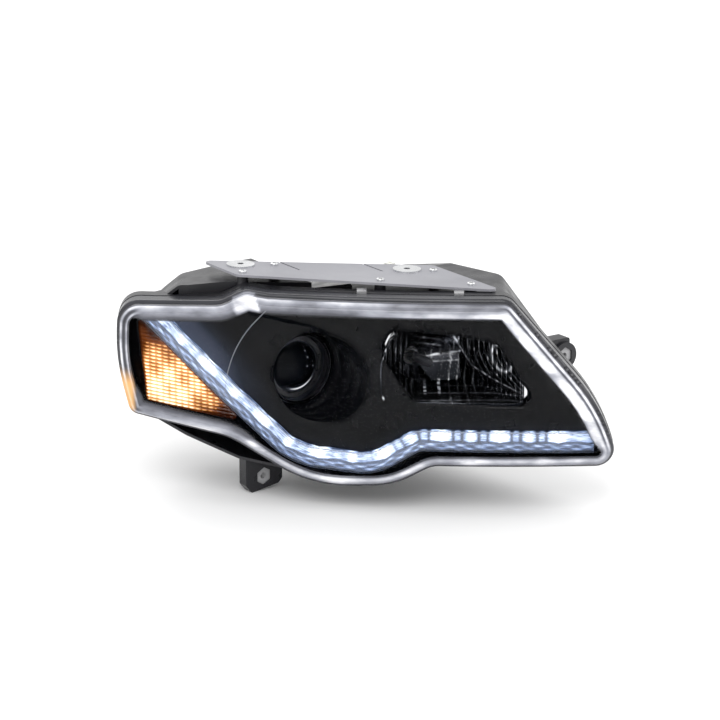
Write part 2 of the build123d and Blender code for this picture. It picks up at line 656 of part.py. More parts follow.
def adjuster(place, length):
    """An adjuster: a shaft below the plane and a six-lobed knob with a hexagonal recess above it."""
    with BuildPart() as solid:
        with BuildSketch(place):
            Circle(2.5)
        extrude(amount=-length)
        with BuildSketch(place.offset(RUNNING)):
            Circle(6)
            with PolarLocations(5.4, 6):
                Circle(1.6)
        extrude(amount=8)
        with BuildSketch(place):
            Circle(2.5)
        extrude(amount=RUNNING)
        with BuildSketch(place.offset(RUNNING + 8)):
            RegularPolygon(3, 6, major_radius=False)
        extrude(amount=-4, mode=Mode.SUBTRACT)
    return solid.part


with BuildPart() as vertical_adjuster_knob:
    add(adjuster(seat(KNOB_X, MOTOR_BACK, KNOB_Z, (0, 1, 0)), 20))
save(vertical_adjuster_knob.part, "vertical_adjuster_knob")

GEAR_Y = HIGH_REAR_Y + ROD_COLLAR
GEAR_TOP = -36.0
with BuildPart() as horizontal_adjuster_gearbox:
    add(block((AIM_FAR_X - 13, GEAR_Y, -62), (AIM_FAR_X + 15, GEAR_Y + 22, GEAR_TOP), 4))
    add(tube(AIM_FAR_X, AIM_Z, GEAR_Y - 1, GEAR_Y + 18, ROD_R + RUNNING), mode=Mode.SUBTRACT)
    with BuildSketch(seat(AIM_FAR_X + 9, GEAR_Y + 11, GEAR_TOP, (0, 0, 1))):
        Circle(2.5 + RUNNING)
    extrude(amount=-21, mode=Mode.SUBTRACT)
save(horizontal_adjuster_gearbox.part, "horizontal_adjuster_gearbox")

with BuildPart() as horizontal_adjuster_knob:
    add(adjuster(seat(AIM_FAR_X + 9, GEAR_Y + 11, GEAR_TOP, (0, 0, 1)), 20))
save(horizontal_adjuster_knob.part, "horizontal_adjuster_knob")

# ---- low-beam projector ----
LENS_R, LENS_SAG = 28.0, 12.0
lens_curve = (LENS_R**2 + LENS_SAG**2) / (2 * LENS_SAG)
half_turn = atan2(LENS_R, lens_curve - LENS_SAG) / 2
with BuildPart() as projector_lens:
    with BuildSketch(Plane(origin=(LOW_X, 0, LOW_Z), x_dir=(1, 0, 0), z_dir=UP)):
        with BuildLine():
            Polyline((0, -LENS_SAG), (0, 4), (30.5, 4), (30.5, 0), (LENS_R, 0))
            middle = (lens_curve * sin(half_turn), lens_curve - LENS_SAG - lens_curve * cos(half_turn))
            ThreePointArc((LENS_R, 0), middle, (0, -LENS_SAG))
        make_face()
    revolve(axis=Axis((LOW_X, 0, LOW_Z), (0, 1, 0)))
save(projector_lens.part, "projector_lens")

HOLDER = [
    (28.6, -3), (33, -3), (35, -1), (35, 10), (FLANGE_R, 10), (FLANGE_R, CARRIER_Y), (35, CARRIER_Y),
    (35, 26), (32, 26), (32, 10), (28, 7), (28, 4), (30.8, 4), (30.8, -0.4), (28.6, -0.4),
]
with BuildPart() as projector_lens_holder:
    add(turned(LOW_X, LOW_Z, HOLDER))
    for x, z in projector_bolts:
        add(tube(x, z, 0, 30, 2.05), mode=Mode.SUBTRACT)
save(projector_lens_holder.part, "projector_lens_holder")

with BuildPart() as projector_screws:
    for x, z in projector_bolts:
        add(screw(seat(x, 10, z, (0, -1, 0)), 7, head_r=3.8))
save(projector_screws.part, "projector_screws")

with BuildPart() as cutoff_shield:
    add(tube(LOW_X, LOW_Z, 26, 27.2, 35))
    window = [(-29, -1), (0, -1), (3, -3), (29, -3), (24, 18), (0, 29), (-24, 18)]
    add(slab([(LOW_X + x, LOW_Z + z) for x, z in window], 0.8, 25, 28), mode=Mode.SUBTRACT)
save(cutoff_shield.part, "cutoff_shield")


def clip_lugs(x, z, seat_y):
    """A round back plate for a bulb, with two lugs that hold the feet of its wire clip."""
    with BuildPart() as solid:
        add(tube(x, z, seat_y - 4, seat_y, 25))
        for side in (-1, 1):
            add(block((x + side * 16 - 1.5, seat_y - 1, z - 21), (x + side * 16 + 1.5, seat_y + 6, z - 15)))
        add(tube(x, z, seat_y - 5, seat_y + 1, 10), mode=Mode.SUBTRACT)
        with BuildSketch(Plane(origin=(x - 20, seat_y + 3.4, z - 18), z_dir=(1, 0, 0))):
            Circle(0.8 + RUNNING)
        extrude(amount=40, mode=Mode.SUBTRACT)
    return solid.part


ELLIPSE_OUT = [(35, 27.2), (36, 32), (35, 46), (31, 60), (25, 74), (17, 87), (10, 87), (10, 85)]
ELLIPSE_IN = [(15, 85), (23, 73), (29, 60), (33, 46), (33.8, 32), (33, 27.2)]
with BuildPart() as projector_reflector:
    add(turned(LOW_X, LOW_Z, ELLIPSE_OUT + ELLIPSE_IN))
    add(clip_lugs(LOW_X, LOW_Z, BULB_SEAT))
save(projector_reflector.part, "projector_reflector")


def bulb_glass(x, z, seat_y):
    """A slim quartz capsule in front of the bulb's seat."""
    profile = [(0, -46), (2.6, -45.4), (4.6, -43.4), (5.6, -40), (5.6, -6), (0, -6)]
    return turned(x, z, [(radius, seat_y + y) for radius, y in profile])


def bulb_base(x, z, seat_y):
    """The metal collar and flange, the moulded tail and its two blades."""
    profile = [(0, -6), (9.6, -6), (9.6, 0), (14, 0), (14, 2), (10, 2), (10, 14), (0, 14)]
    with BuildPart() as solid:
        add(turned(x, z, [(radius, seat_y + y) for radius, y in profile]))
        for side in (-1, 1):
            add(block((x + side * 4 - 0.4, seat_y + 13, z - 3), (x + side * 4 + 0.4, seat_y + 21, z + 3)))
    return solid.part


def bulb_clip(x, z, seat_y):
    """A wire clip: two feet in the lugs, two legs past the bulb's tail and a bar across the top."""
    route = [(-18.5, -18), (-12, -18), (-12, 14), (12, 14), (12, -18), (18.5, -18)]
    with BuildPart() as solid:
        with BuildLine(across(seat_y + 3.4)) as line:
            FilletPolyline(*[(x + a, z + b) for a, b in route], radius=2.5)
        with BuildSketch(Plane(origin=(x - 18.5, seat_y + 3.4, z - 18), z_dir=(1, 0, 0))):
            Circle(0.8)
        sweep(path=line.wire())
    return solid.part


with BuildPart() as low_bulb_glass:
    add(bulb_glass(LOW_X, LOW_Z, BULB_SEAT))
save(low_bulb_glass.part, "low_bulb_glass")

with BuildPart() as low_bulb_base:
    add(bulb_base(LOW_X, LOW_Z, BULB_SEAT))
save(low_bulb_base.part, "low_bulb_base")

with BuildPart() as low_bulb_clip:
    add(bulb_clip(LOW_X, LOW_Z, BULB_SEAT))
save(low_bulb_clip.part, "low_bulb_clip")

# ---- high beam ----
left, right, bottom, top = HIGH_BOX
# the upper inboard corner is cut off, so that the reflector clears the lens's slope as it tilts


def reflector_box(grow):
    """The corners of the high-beam reflector's box seen from the front."""
    return [
        (left - grow, bottom - grow), (right + grow, bottom - grow), (right + grow, top - CORNER_DROP),
        (right - CORNER_CUT, top + grow), (left - grow, top + grow),
    ]


with BuildPart() as high_beam_reflector:
    add(slab(reflector_box(SHELL), 8, -290, 0))
    add(bowl(HIGH_VERTEX + SHELL, HIGH_FOCUS, 105, HIGH_X, HIGH_Z), mode=Mode.INTERSECT)
    for x, z in REFLECTOR_POSTS:
        add(tube(x, z, -85, REFLECTOR_POST_END, 5))
    add(clip_lugs(HIGH_X, HIGH_Z, HIGH_SEAT))
    add(tube(HIGH_X, HIGH_Z, HIGH_VERTEX, HIGH_SEAT - 2, 16))
    add(barrel(-9.0), mode=Mode.INTERSECT)
    mirror = bowl(HIGH_VERTEX, HIGH_FOCUS, 105, HIGH_X, HIGH_Z)
    add(slab(reflector_box(0.0), 6, -300, 0) & mirror, mode=Mode.SUBTRACT)
    add(tube(HIGH_X, HIGH_Z, -70, HIGH_SEAT + 1, 10), mode=Mode.SUBTRACT)
save(high_beam_reflector.part, "high_beam_reflector")

with BuildPart() as high_bulb_glass:
    add(bulb_glass(HIGH_X, HIGH_Z, HIGH_SEAT))
save(high_bulb_glass.part, "high_bulb_glass")

with BuildPart() as high_bulb_base:
    add(bulb_base(HIGH_X, HIGH_Z, HIGH_SEAT))
save(high_bulb_base.part, "high_bulb_base")

with BuildPart() as high_bulb_clip:
    add(bulb_clip(HIGH_X, HIGH_Z, HIGH_SEAT))
save(high_bulb_clip.part, "high_bulb_clip")


# ---- rear caps ----
def access_cap(x, z, collar_r, collar_end):
    """A cup over an access collar, with twelve grip ribs and a cross bar to turn it by."""
    inside = collar_r + RUNNING
    back = collar_end + 3.3
    with BuildPart() as solid:
        add(tube(x, z, collar_end - 12, back + CAP_T, inside + CAP_T))
        add(tube(x, z, collar_end - 13, back, inside), mode=Mode.SUBTRACT)
        half_grip = collar_r - 6
        add(block((x - half_grip, back + CAP_T - 1, z - 3), (x + half_grip, back + CAP_T + 8, z + 3), 1.5))
        with BuildSketch(across(back + CAP_T)):
            with Locations((x, z)):
                with PolarLocations(inside + CAP_T, 12):
                    Circle(1.8)
        extrude(amount=CAP_T + 10)
    return solid.part


def cap_seal(x, z, bore, collar_end):
    """The flat rubber ring on the end of an access collar."""
    return tube(x, z, collar_end, collar_end + 3, bore + 3, bore)


LOW_END = REAR_Y + LOW_COLLAR
HIGH_END = HIGH_REAR_Y + HIGH_COLLAR
with BuildPart() as low_beam_cap:
    add(access_cap(LOW_X, LOW_Z, LOW_BORE + 3, LOW_END))
save(low_beam_cap.part, "low_beam_cap")

with BuildPart() as low_cap_seal:
    add(cap_seal(LOW_X, LOW_Z, LOW_BORE, LOW_END))
save(low_cap_seal.part, "low_cap_seal")

with BuildPart() as high_beam_cap:
    add(access_cap(HIGH_X, HIGH_Z, HIGH_BORE + 3, HIGH_END))
save(high_beam_cap.part, "high_beam_cap")

with BuildPart() as high_cap_seal:
    add(cap_seal(HIGH_X, HIGH_Z, HIGH_BORE, HIGH_END))
save(high_cap_seal.part, "high_cap_seal")

# ---- connector, driver and vent ----
PLUG_BACK = HIGH_REAR_Y + 20
w, h = PLUG_HALF_W, PLUG_HALF_H
with BuildPart() as main_connector:
    add(block((PLUG_X - w, HIGH_REAR_Y - 8, PLUG_Z - h), (PLUG_X + w, PLUG_BACK, PLUG_Z + h), 2))
    flange = (PLUG_X + w + 4, HIGH_REAR_Y + 2.5, PLUG_Z + h + 4)
    add(block((PLUG_X - w - 4, HIGH_REAR_Y, PLUG_Z - h - 4), flange, 2))
    add(block((PLUG_X - 5, HIGH_REAR_Y + 6, PLUG_Z + h - 1), (PLUG_X + 5, PLUG_BACK - 3, PLUG_Z + h + 2.5)))
    mouth = (PLUG_X + w - 2, PLUG_BACK + 1, PLUG_Z + h - 2)
    add(block((PLUG_X - w + 2, HIGH_REAR_Y + 4, PLUG_Z - h + 2), mouth), mode=Mode.SUBTRACT)
save(main_connector.part, "main_connector")

PIN_PITCH = 6.0
with BuildPart() as connector_pins:
    for column in range(5):
        for row in (-1, 1):
            x, z = PLUG_X + (column - 2) * PIN_PITCH, PLUG_Z + row * 2.6
            add(block((x - 0.8, HIGH_REAR_Y + 4, z - 0.5), (x + 0.8, PLUG_BACK - 8, z + 0.5)))
save(connector_pins.part, "connector_pins")

with BuildPart() as led_driver:
    add(block((-126, REAR_Y, -66), (-82, REAR_Y + 14, -42), 3))
    for fin in range(6):
        x = -121 + fin * 6
        add(block((x, REAR_Y + 13, -63), (x + 2, REAR_Y + 18, -45)))
save(led_driver.part, "led_driver")

with BuildPart() as vent_cap:
    add(tube(VENT_X, VENT_Z, REAR_Y - 6, REAR_Y + 3, 3.9))
    add(tube(VENT_X, VENT_Z, REAR_Y + 3, REAR_Y + 10, 8.5))
    add(tube(VENT_X, VENT_Z, REAR_Y - 7, REAR_Y + 6, 2.2), mode=Mode.SUBTRACT)
save(vent_cap.part, "vent_cap")
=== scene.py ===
"""The looks of a car headlight assembly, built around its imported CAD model.

Sizes below are in millimetres on LENS, the upright plane along the swept-back lens: s runs inboard along
it, z is up and p stands out of it. at(s, z, p) turns them into metres in the model's own frame.
"""

import json
import math

import bpy
import numpy as np
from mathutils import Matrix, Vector
from mathutils.geometry import delaunay_2d_cdt


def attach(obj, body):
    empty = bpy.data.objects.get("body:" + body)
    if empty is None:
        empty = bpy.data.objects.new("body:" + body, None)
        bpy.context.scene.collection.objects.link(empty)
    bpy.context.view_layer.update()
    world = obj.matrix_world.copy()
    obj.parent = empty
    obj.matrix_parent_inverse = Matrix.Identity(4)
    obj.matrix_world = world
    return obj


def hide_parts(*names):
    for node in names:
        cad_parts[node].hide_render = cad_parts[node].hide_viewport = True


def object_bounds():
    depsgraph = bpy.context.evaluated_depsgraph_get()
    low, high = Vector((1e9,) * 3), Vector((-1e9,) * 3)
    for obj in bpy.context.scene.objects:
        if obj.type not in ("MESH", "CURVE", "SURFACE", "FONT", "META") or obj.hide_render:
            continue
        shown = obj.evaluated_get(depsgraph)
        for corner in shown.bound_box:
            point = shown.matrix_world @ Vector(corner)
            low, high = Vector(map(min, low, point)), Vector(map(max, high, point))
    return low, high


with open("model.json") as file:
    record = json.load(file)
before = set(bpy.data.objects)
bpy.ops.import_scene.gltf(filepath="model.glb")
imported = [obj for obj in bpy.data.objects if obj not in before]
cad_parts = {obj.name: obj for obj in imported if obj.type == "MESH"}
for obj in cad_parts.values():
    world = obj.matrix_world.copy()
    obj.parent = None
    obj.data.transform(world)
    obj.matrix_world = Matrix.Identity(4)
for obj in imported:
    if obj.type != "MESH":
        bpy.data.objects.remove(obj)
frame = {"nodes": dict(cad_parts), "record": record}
CAD_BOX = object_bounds()
NODES = frame["nodes"]
MM = 0.001

# ---- driving sizes, as in the CAD model ----
SWEEP = math.radians(35)
ALONG = np.array([math.cos(SWEEP), -math.sin(SWEEP), 0.0])
OUTWARD = np.array([-math.sin(SWEEP), -math.cos(SWEEP), 0.0])
SEAM_R, SEAM_MID, SEAM_FWD = 1250.0, 230.0, 88.0
LENS_DEEP, LENS_BULGE, LENS_MID_Z, LENS_HALF_H = 22.0, 9.0, -105.0, 105.0
LENS_T = 3.0
BEZEL_T = 2.5
STRIP_WIDE = 22.5
LED_SHARES = [0.02, 0.16, 0.31, 0.445, 0.58, 0.70, 0.815, 0.93]
VIEW_LIFT = math.radians(17.0)
LOW_X, LOW_Z = -38.0, -102.0
HIGH_X, HIGH_Z = 76.0, -97.0
HIGH_VERTEX, HIGH_FOCUS = -50.0, 28.0
HIGH_BOX = (2.0, 126.0, -128.0, -42.0)
CORNER_CUT, CORNER_DROP = 23.0, 30.0

SEAM_OUTLINE = [
    ((-213, -31), 24), ((-106, -23), 30), ((-80, -9.5), 14), ((-57, -12), 16), ((190, -9.5), 14),
    ((282, -117), 200), ((305, -182), 16), ((112, -184), 30), ((72, -208), 90), ((-12, -213), 130),
    ((-97, -164), 80), ((-202, -147), 8), ((-216, -90), 200),
]
STRIP_PATH = [
    ((-185, -41), 0), ((-96, -126), 100), ((-30, -186), 70), ((52, -192), 50), ((98, -163.5), 25),
    ((282, -163.5), 0),
]
AMBER_OUTLINE = [((-197, -46), 4), ((-188, -141), 5), ((-84, -155), 4)]
HIGH_OUTLINE = [
    ((58, -60), 12), ((74, -44), 12), ((135, -48), 20), ((180, -57), 10), ((218, -116), 6),
    ((207, -126), 4), ((94, -124), 10), ((66, -84), 20),
]
BROW = [((-75, -36), 0), ((-8, -47), 60), ((53, -80), 60), ((92, -126), 60), ((104, -156), 0)]
FUNNEL_S, FUNNEL_Z, FUNNEL_R = -2.0, -102.0, 50.0
HOLE_R = 39.5
FUNNEL_END_Y = -9.0
PARTING_PATH = [((-59, -25), 0), ((-90, -58), 120), ((-100, -96), 60), ((-103, -118), 0)]


# ---- shapes on LENS ----
def at(s, z, p):
    """Points in metres from LENS coordinates in millimetres."""
    s, z, p = np.broadcast_arrays(np.asarray(s, float), np.asarray(z, float), np.asarray(p, float))
    points = s[..., None] * ALONG + p[..., None] * OUTWARD
    points[..., 2] += z
    return points * MM


def seam(s, out=0.0):
    """How far out of LENS the surface that stands that far in front of the seam is."""
    return SEAM_FWD - SEAM_R + np.sqrt((SEAM_R + out) ** 2 - (np.asarray(s, float) - SEAM_MID) ** 2)


def crown(z):
    """How far the lens face bulges at that height."""
    radius = (LENS_HALF_H**2 + LENS_BULGE**2) / (2 * LENS_BULGE)
    return np.sqrt(radius**2 - (np.asarray(z, float) - LENS_MID_Z) ** 2) - (radius - LENS_BULGE)


def rounded(corners, closed=True, step=2.0):
    """Evenly spaced points along a polyline whose corners are turned with their radii."""
    points = [np.array(corner, float) for corner, _ in corners]
    radii = [radius for _, radius in corners]
    count = len(points)
    path = []
    for n in range(count):
        if not closed and n in (0, count - 1):
            path.append(points[n])
            continue
        before, here, after = points[n - 1], points[n], points[(n + 1) % count]
        u = (before - here) / np.linalg.norm(before - here)
        v = (after - here) / np.linalg.norm(after - here)
        turn = math.pi - math.acos(float(np.clip(u @ v, -1, 1)))
        reach = radii[n] * math.tan(turn / 2)
        middle = (u + v) / np.linalg.norm(u + v)
        centre = here + middle * math.hypot(reach, radii[n])
        first, last = here + u * reach - centre, here + v * reach - centre
        a, b = math.atan2(first[1], first[0]), math.atan2(last[1], last[0])
        swing = (b - a + math.pi) % (2 * math.pi) - math.pi
        pieces = max(2, int(abs(swing) / 0.06))
        for k in range(pieces + 1):
            angle = a + swing * k / pieces
            path.append(centre + radii[n] * np.array([math.cos(angle), math.sin(angle)]))
    if closed:
        path.append(path[0])
    path = np.array(path)
    lengths = np.concatenate([[0], np.cumsum(np.linalg.norm(np.diff(path, axis=0), axis=1))])
    total = lengths[-1]
    samples = np.linspace(0, total, max(8, int(total / step)) + 1)
    even = np.stack([np.interp(samples, lengths, path[:, axis]) for axis in (0, 1)], axis=1)
    return even[:-1] if closed else even


def normals(path, closed=True):
    """The unit normal to the left of the path at each of its points."""
    if closed:
        along = np.roll(path, -1, axis=0) - np.roll(path, 1, axis=0)
    else:
        along = np.gradient(path, axis=0)
    along /= np.linalg.norm(along, axis=1)[:, None]
    return np.stack([-along[:, 1], along[:, 0]], axis=1)


def inset(path, amount):
    """A closed path moved inward."""
    area = np.sum(path[:, 0] * np.roll(path[:, 1], -1) - np.roll(path[:, 0], -1) * path[:, 1])
    return path + normals(path) * (amount if area > 0 else -amount)


def distance(points, path, closed=True):
    """The distance of each point from a path, and which side of it the point is on."""
    ends = np.roll(path, -1, axis=0) if closed else path[1:]
    starts = path if closed else path[:-1]
    run = ends - starts
    best = np.full(len(points), 1e9)
    side = np.zeros(len(points))
    for a, d in zip(starts, run):
        relative = points - a
        share = np.clip(relative @ d / max(d @ d, 1e-12), 0, 1)
        gap = np.linalg.norm(relative - share[:, None] * d, axis=1)
        closer = gap < best
        best = np.where(closer, gap, best)
        side = np.where(closer, np.sign(d[0] * relative[:, 1] - d[1] * relative[:, 0]), side)
    return best, side


def inside(points, path):
    """Whether each point is inside a closed path."""
    result = np.zeros(len(points), bool)
    x, y = points[:, 0], points[:, 1]
    for (x1, y1), (x2, y2) in zip(path, np.roll(path, -1, axis=0)):
        crosses = (y1 > y) != (y2 > y)
        where = x1 + (y - y1) / (y2 - y1 + 1e-12) * (x2 - x1)
        result ^= crosses & (x < where)
    return result


def smooth(low, high, value):
    """Zero below low, one above high, and smooth between."""
    share = np.clip((value - low) / (high - low), 0, 1)
    return share * share * (3 - 2 * share)


def filled(outline, holes=(), grid=5.0, rings=()):
    """Triangles that fill an outline around its holes, and how far each corner is from the outline."""
    loops = [outline, *holes]
    points = [tuple(point) for loop in loops for point in loop]
    edges, start = [], 0
    for loop in loops:
        size = len(loop)
        edges += [(start + n, start + (n + 1) % size) for n in range(size)]
        start += size
    loose = [inset(outline, amount) for amount in rings]
    low, high = outline.min(0), outline.max(0)
    xs, ys = np.arange(low[0], high[0], grid), np.arange(low[1], high[1], grid)
    columns, rows = np.meshgrid(xs, ys)
    columns = columns + (np.arange(len(ys)) % 2)[:, None] * grid / 2
    loose.append(np.stack([columns.ravel(), rows.ravel()], axis=1))
    for index, candidates in enumerate(loose):
        need = rings[index] * 0.97 if index < len(rings) else (rings[-1] if rings else 0) + grid * 0.5
        keep = inside(candidates, outline) & (distance(candidates, outline)[0] > need)
        for hole in holes:
            keep &= ~inside(candidates, hole) & (distance(candidates, hole)[0] > min(grid * 0.4, 1.5))
        points += [tuple(point) for point in candidates[keep]]
    corners, _, faces, *_ = delaunay_2d_cdt([Vector(point) for point in points], edges, [], 0, 1e-5)
    corners = np.array([tuple(corner) for corner in corners])
    faces = [face for face in faces if len(face) == 3]
    middles = np.array([corners[list(face)].mean(0) for face in faces])
    keep = inside(middles, outline)
    for hole in holes:
        keep &= ~inside(middles, hole)
    faces = [tuple(face) for face, wanted in zip(faces, keep) if wanted]
    return corners, faces, distance(corners, outline)[0]


# ---- mesh building ----
def build(name, corners, faces, material, body, values=None, sharp=40.0, thickness=0.0):
    """A smooth-shaded piece from its corners and faces, riding on a body."""
    mesh = bpy.data.meshes.new(name)
    mesh.from_pydata([tuple(corner) for corner in np.asarray(corners).reshape(-1, 3)], [], faces)
    for key, numbers in (values or {}).items():
        attribute = mesh.attributes.new(key, "FLOAT", "POINT")
        attribute.data.foreach_set("value", np.asarray(numbers, np.float32).ravel())
    mesh.materials.append(material)
    piece = bpy.data.objects.new(name, mesh)
    bpy.context.scene.collection.objects.link(piece)
    if thickness:
        solid = piece.modifiers.new("thickness", "SOLIDIFY")
        solid.thickness = thickness * MM
        solid.offset = -1
    mesh.shade_smooth()
    mesh.set_sharp_from_angle(angle=math.radians(sharp))
    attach(piece, body)
    return piece


def lattice(rows, columns, wrap=False, flip=False):
    """Quads over a grid of points in row order."""
    faces = []
    for row in range(rows - 1):
        for column in range(columns if wrap else columns - 1):
            after = (column + 1) % columns
            here, below = row * columns, (row + 1) * columns
            quad = (here + column, here + after, below + after, below + column)
            faces.append(quad[::-1] if flip else quad)
    return faces


# ---- materials ----
def shader(name, color, roughness, metallic=0.0, **sockets):
    """A principled material and its node tree."""
    material = bpy.data.materials.new(name)
    material.use_nodes = True
    tree = material.node_tree
    main = tree.nodes["Principled BSDF"]
    main.inputs["Base Color"].default_value = (*color, 1)
    main.inputs["Roughness"].default_value = roughness
    main.inputs["Metallic"].default_value = metallic
    for key, value in sockets.items():
        main.inputs[key.replace("_", " ")].default_value = value
    return material, tree, main


def noise(tree, scale, detail=4.0, stretch=None):
    """A noise texture in the model's own coordinates."""
    place = tree.nodes.new("ShaderNodeTexCoord")
    texture = tree.nodes.new("ShaderNodeTexNoise")
    texture.inputs["Scale"].default_value = scale
    texture.inputs["Detail"].default_value = detail
    source = place.outputs["Object"]
    if stretch:
        mapping = tree.nodes.new("ShaderNodeMapping")
        mapping.inputs["Scale"].default_value = stretch
        tree.links.new(source, mapping.inputs["Vector"])
        source = mapping.outputs["Vector"]
    tree.links.new(source, texture.inputs["Vector"])
    return texture.outputs["Fac"]


def ramp(tree, source, stops):
    """A colour ramp: stops are (place, colour or grey)."""
    node = tree.nodes.new("ShaderNodeValToRGB")
    marks = node.color_ramp.elements
    while len(marks) < len(stops):
        marks.new(0.5)
    for mark, (place, value) in zip(marks, stops):
        mark.position = place
        mark.color = (value, value, value, 1) if isinstance(value, (int, float)) else (*value, 1)
    tree.links.new(source, node.inputs["Fac"])
    return node.outputs["Color"]


def drive(tree, main, socket, source, stops):
    """One input of the material set by a ramp over a source."""
    tree.links.new(ramp(tree, source, stops), main.inputs[socket])


def math_node(tree, kind, first, second):
    """One arithmetic node; each input is a socket or a number."""
    node = tree.nodes.new("ShaderNodeMath")
    node.operation = kind
    for socket, value in zip(node.inputs, (first, second)):
        if isinstance(value, (int, float)):
            socket.default_value = value
        else:
            tree.links.new(value, socket)
    return node.outputs["Value"]


def blend_colour(tree, share, first, second):
    """A mix of two colours by a share."""
    node = tree.nodes.new("ShaderNodeMix")
    node.data_type = "RGBA"
    tree.links.new(share, node.inputs["Factor"])
    for socket, value in ((node.inputs[6], first), (node.inputs[7], second)):
        if isinstance(value, tuple):
            socket.default_value = (*value, 1)
        else:
            tree.links.new(value, socket)
    return node.outputs[2]


def attribute(tree, name):
    """A value stored on the piece's points."""
    node = tree.nodes.new("ShaderNodeAttribute")
    node.attribute_name = name
    return node.outputs["Fac"]


def bump(tree, main, height, strength, depth_mm):
    """Bumps from a height between zero and one."""
    node = tree.nodes.new("ShaderNodeBump")
    node.inputs["Strength"].default_value = strength
    node.inputs["Distance"].default_value = depth_mm * MM
    tree.links.new(height, node.inputs["Height"])
    tree.links.new(node.outputs["Normal"], main.inputs["Normal"])


def textured(name, dark, light, rough_low, rough_high, grain=900.0, depth=0.05, patch=18.0, **sockets):
    """Moulded or cast stuff: soft patches of colour, varied roughness and a fine grain."""
    material, tree, main = shader(name, dark, rough_low, **sockets)
    drive(tree, main, "Base Color", noise(tree, patch, 5.0), [(0.3, dark), (0.7, light)])
    drive(tree, main, "Roughness", noise(tree, patch * 3.1, 6.0), [(0.3, rough_low), (0.7, rough_high)])
    bump(tree, main, noise(tree, grain, 2.0), 0.35, depth)
    return material


def brushed(name, color, roughness, stretch):
    """Metal with fine directional scratches."""
    material, tree, main = shader(name, color, roughness, 1.0)
    lines = noise(tree, 60.0, 6.0, stretch)
    drive(tree, main, "Roughness", lines, [(0.3, roughness * 0.7), (0.7, roughness * 1.5)])
    darker = tuple(c * 0.82 for c in color)
    drive(tree, main, "Base Color", noise(tree, 40.0), [(0.3, darker), (0.7, color)])
    bump(tree, main, lines, 0.2, 0.02)
    return material


def clear_lens_material():
    """Clear polycarbonate in the middle and a frosted band round the rim, whose silvery lines and dark
    bands are painted highlights and painted shade, with a painted amber light from the turn signal at its
    left.
    """
    material, tree, main = shader("clear_polycarbonate", (0.02, 0.02, 0.02), 0.03, IOR=1.45)
    rim, painted_rim_light = attribute(tree, "rim"), attribute(tree, "painted_rim_light")
    cloud = ramp(tree, noise(tree, 26.0, 6.0, (1.0, 1.0, 2.5)), [(0.3, 0.6), (0.7, 1.15)])
    # the rim's bright lines and dark bands are painted highlights and painted shade, mottled by noise
    mottled_painted_light = math_node(tree, "MULTIPLY", painted_rim_light, cloud)
    frost_and_painted_sheen = ramp(tree, mottled_painted_light, [
        (0.0, (0.01, 0.01, 0.012)), (0.3, (0.09, 0.092, 0.11)),
        (0.6, (0.36, 0.37, 0.42)), (0.95, (0.95, 0.95, 0.98)),
    ])
    # painted amber light from the turn signal on the rim's left
    rim_with_painted_amber = blend_colour(tree, attribute(tree, "amber"), frost_and_painted_sheen, (1.0, 0.55, 0.2))
    tree.links.new(blend_colour(tree, rim, (0.01, 0.011, 0.013), rim_with_painted_amber), main.inputs["Base Color"])
    fresnel = tree.nodes.new("ShaderNodeFresnel")
    fresnel.inputs["IOR"].default_value = 1.12
    clear = math_node(tree, "ADD", fresnel.outputs["Fac"], 0.008)
    frosted = math_node(tree, "MULTIPLY", rim, 0.96)
    tree.links.new(math_node(tree, "MAXIMUM", clear, frosted), main.inputs["Alpha"])
    rough = math_node(tree, "ADD", math_node(tree, "MULTIPLY", rim, 0.22), 0.03)
    tree.links.new(rough, main.inputs["Roughness"])
    bump(tree, main, noise(tree, 140.0, 2.0), 0.04, 0.05)
    return material


def bezel_material():
    """Gloss black with a faint orange peel, and the strip's light caught beside it."""
    material, tree, main = shader("bezel_gloss_black", (0.002, 0.0022, 0.003), 0.2, Specular_IOR_Level=0.14)
    blacks = [(0.3, (0.0016, 0.0018, 0.0024)), (0.7, (0.003, 0.0034, 0.0048))]
    drive(tree, main, "Base Color", noise(tree, 14.0), blacks)
    drive(tree, main, "Roughness", noise(tree, 50.0), [(0.3, 0.16), (0.7, 0.3)])
    drive(tree, main, "Emission Color", attribute(tree, "glow"), [
        (0.0, (0.0, 0.0, 0.0)), (0.3, (0.012, 0.015, 0.024)),
        (0.65, (0.075, 0.09, 0.14)), (1.0, (0.3, 0.34, 0.46)),
    ])
    main.inputs["Emission Strength"].default_value = 1.0
    bump(tree, main, noise(tree, 300.0, 2.0), 0.06, 0.05)
    return material


def strip_material():
    """Chrome cells lit by the diodes: long streaks along the strip and darker joints between the cells."""
    material, tree, main = shader("strip_chrome", (0.8, 0.84, 0.92), 0.12, 0.9)
    run, width = attribute(tree, "run"), attribute(tree, "width")
    place = tree.nodes.new("ShaderNodeCombineXYZ")
    tree.links.new(math_node(tree, "MULTIPLY", run, 0.055), place.inputs["X"])
    tree.links.new(math_node(tree, "MULTIPLY", width, 0.55), place.inputs["Y"])
    streak = tree.nodes.new("ShaderNodeTexNoise")
    streak.inputs["Scale"].default_value = 1.6
    streak.inputs["Detail"].default_value = 5.0
    tree.links.new(place.outputs["Vector"], streak.inputs["Vector"])
    shade = ramp(tree, streak.outputs["Fac"], [(0.34, 0.45), (0.5, 0.85), (0.62, 1.15)])
    light = math_node(tree, "MULTIPLY", attribute(tree, "glow"), shade)
    drive(tree, main, "Emission Color", light, [
        (0.0, (0.004, 0.006, 0.012)), (0.2, (0.045, 0.065, 0.12)), (0.42, (0.2, 0.28, 0.48)),
        (0.66, (0.62, 0.74, 0.95)), (0.9, (1.0, 1.0, 1.0)),
    ])
    main.inputs["Emission Strength"].default_value = 1.5
    drive(tree, main, "Base Color", light, [(0.1, (0.05, 0.06, 0.08)), (0.6, (0.35, 0.38, 0.45))])
    bump(tree, main, streak.outputs["Fac"], 0.3, 0.4)
    return material


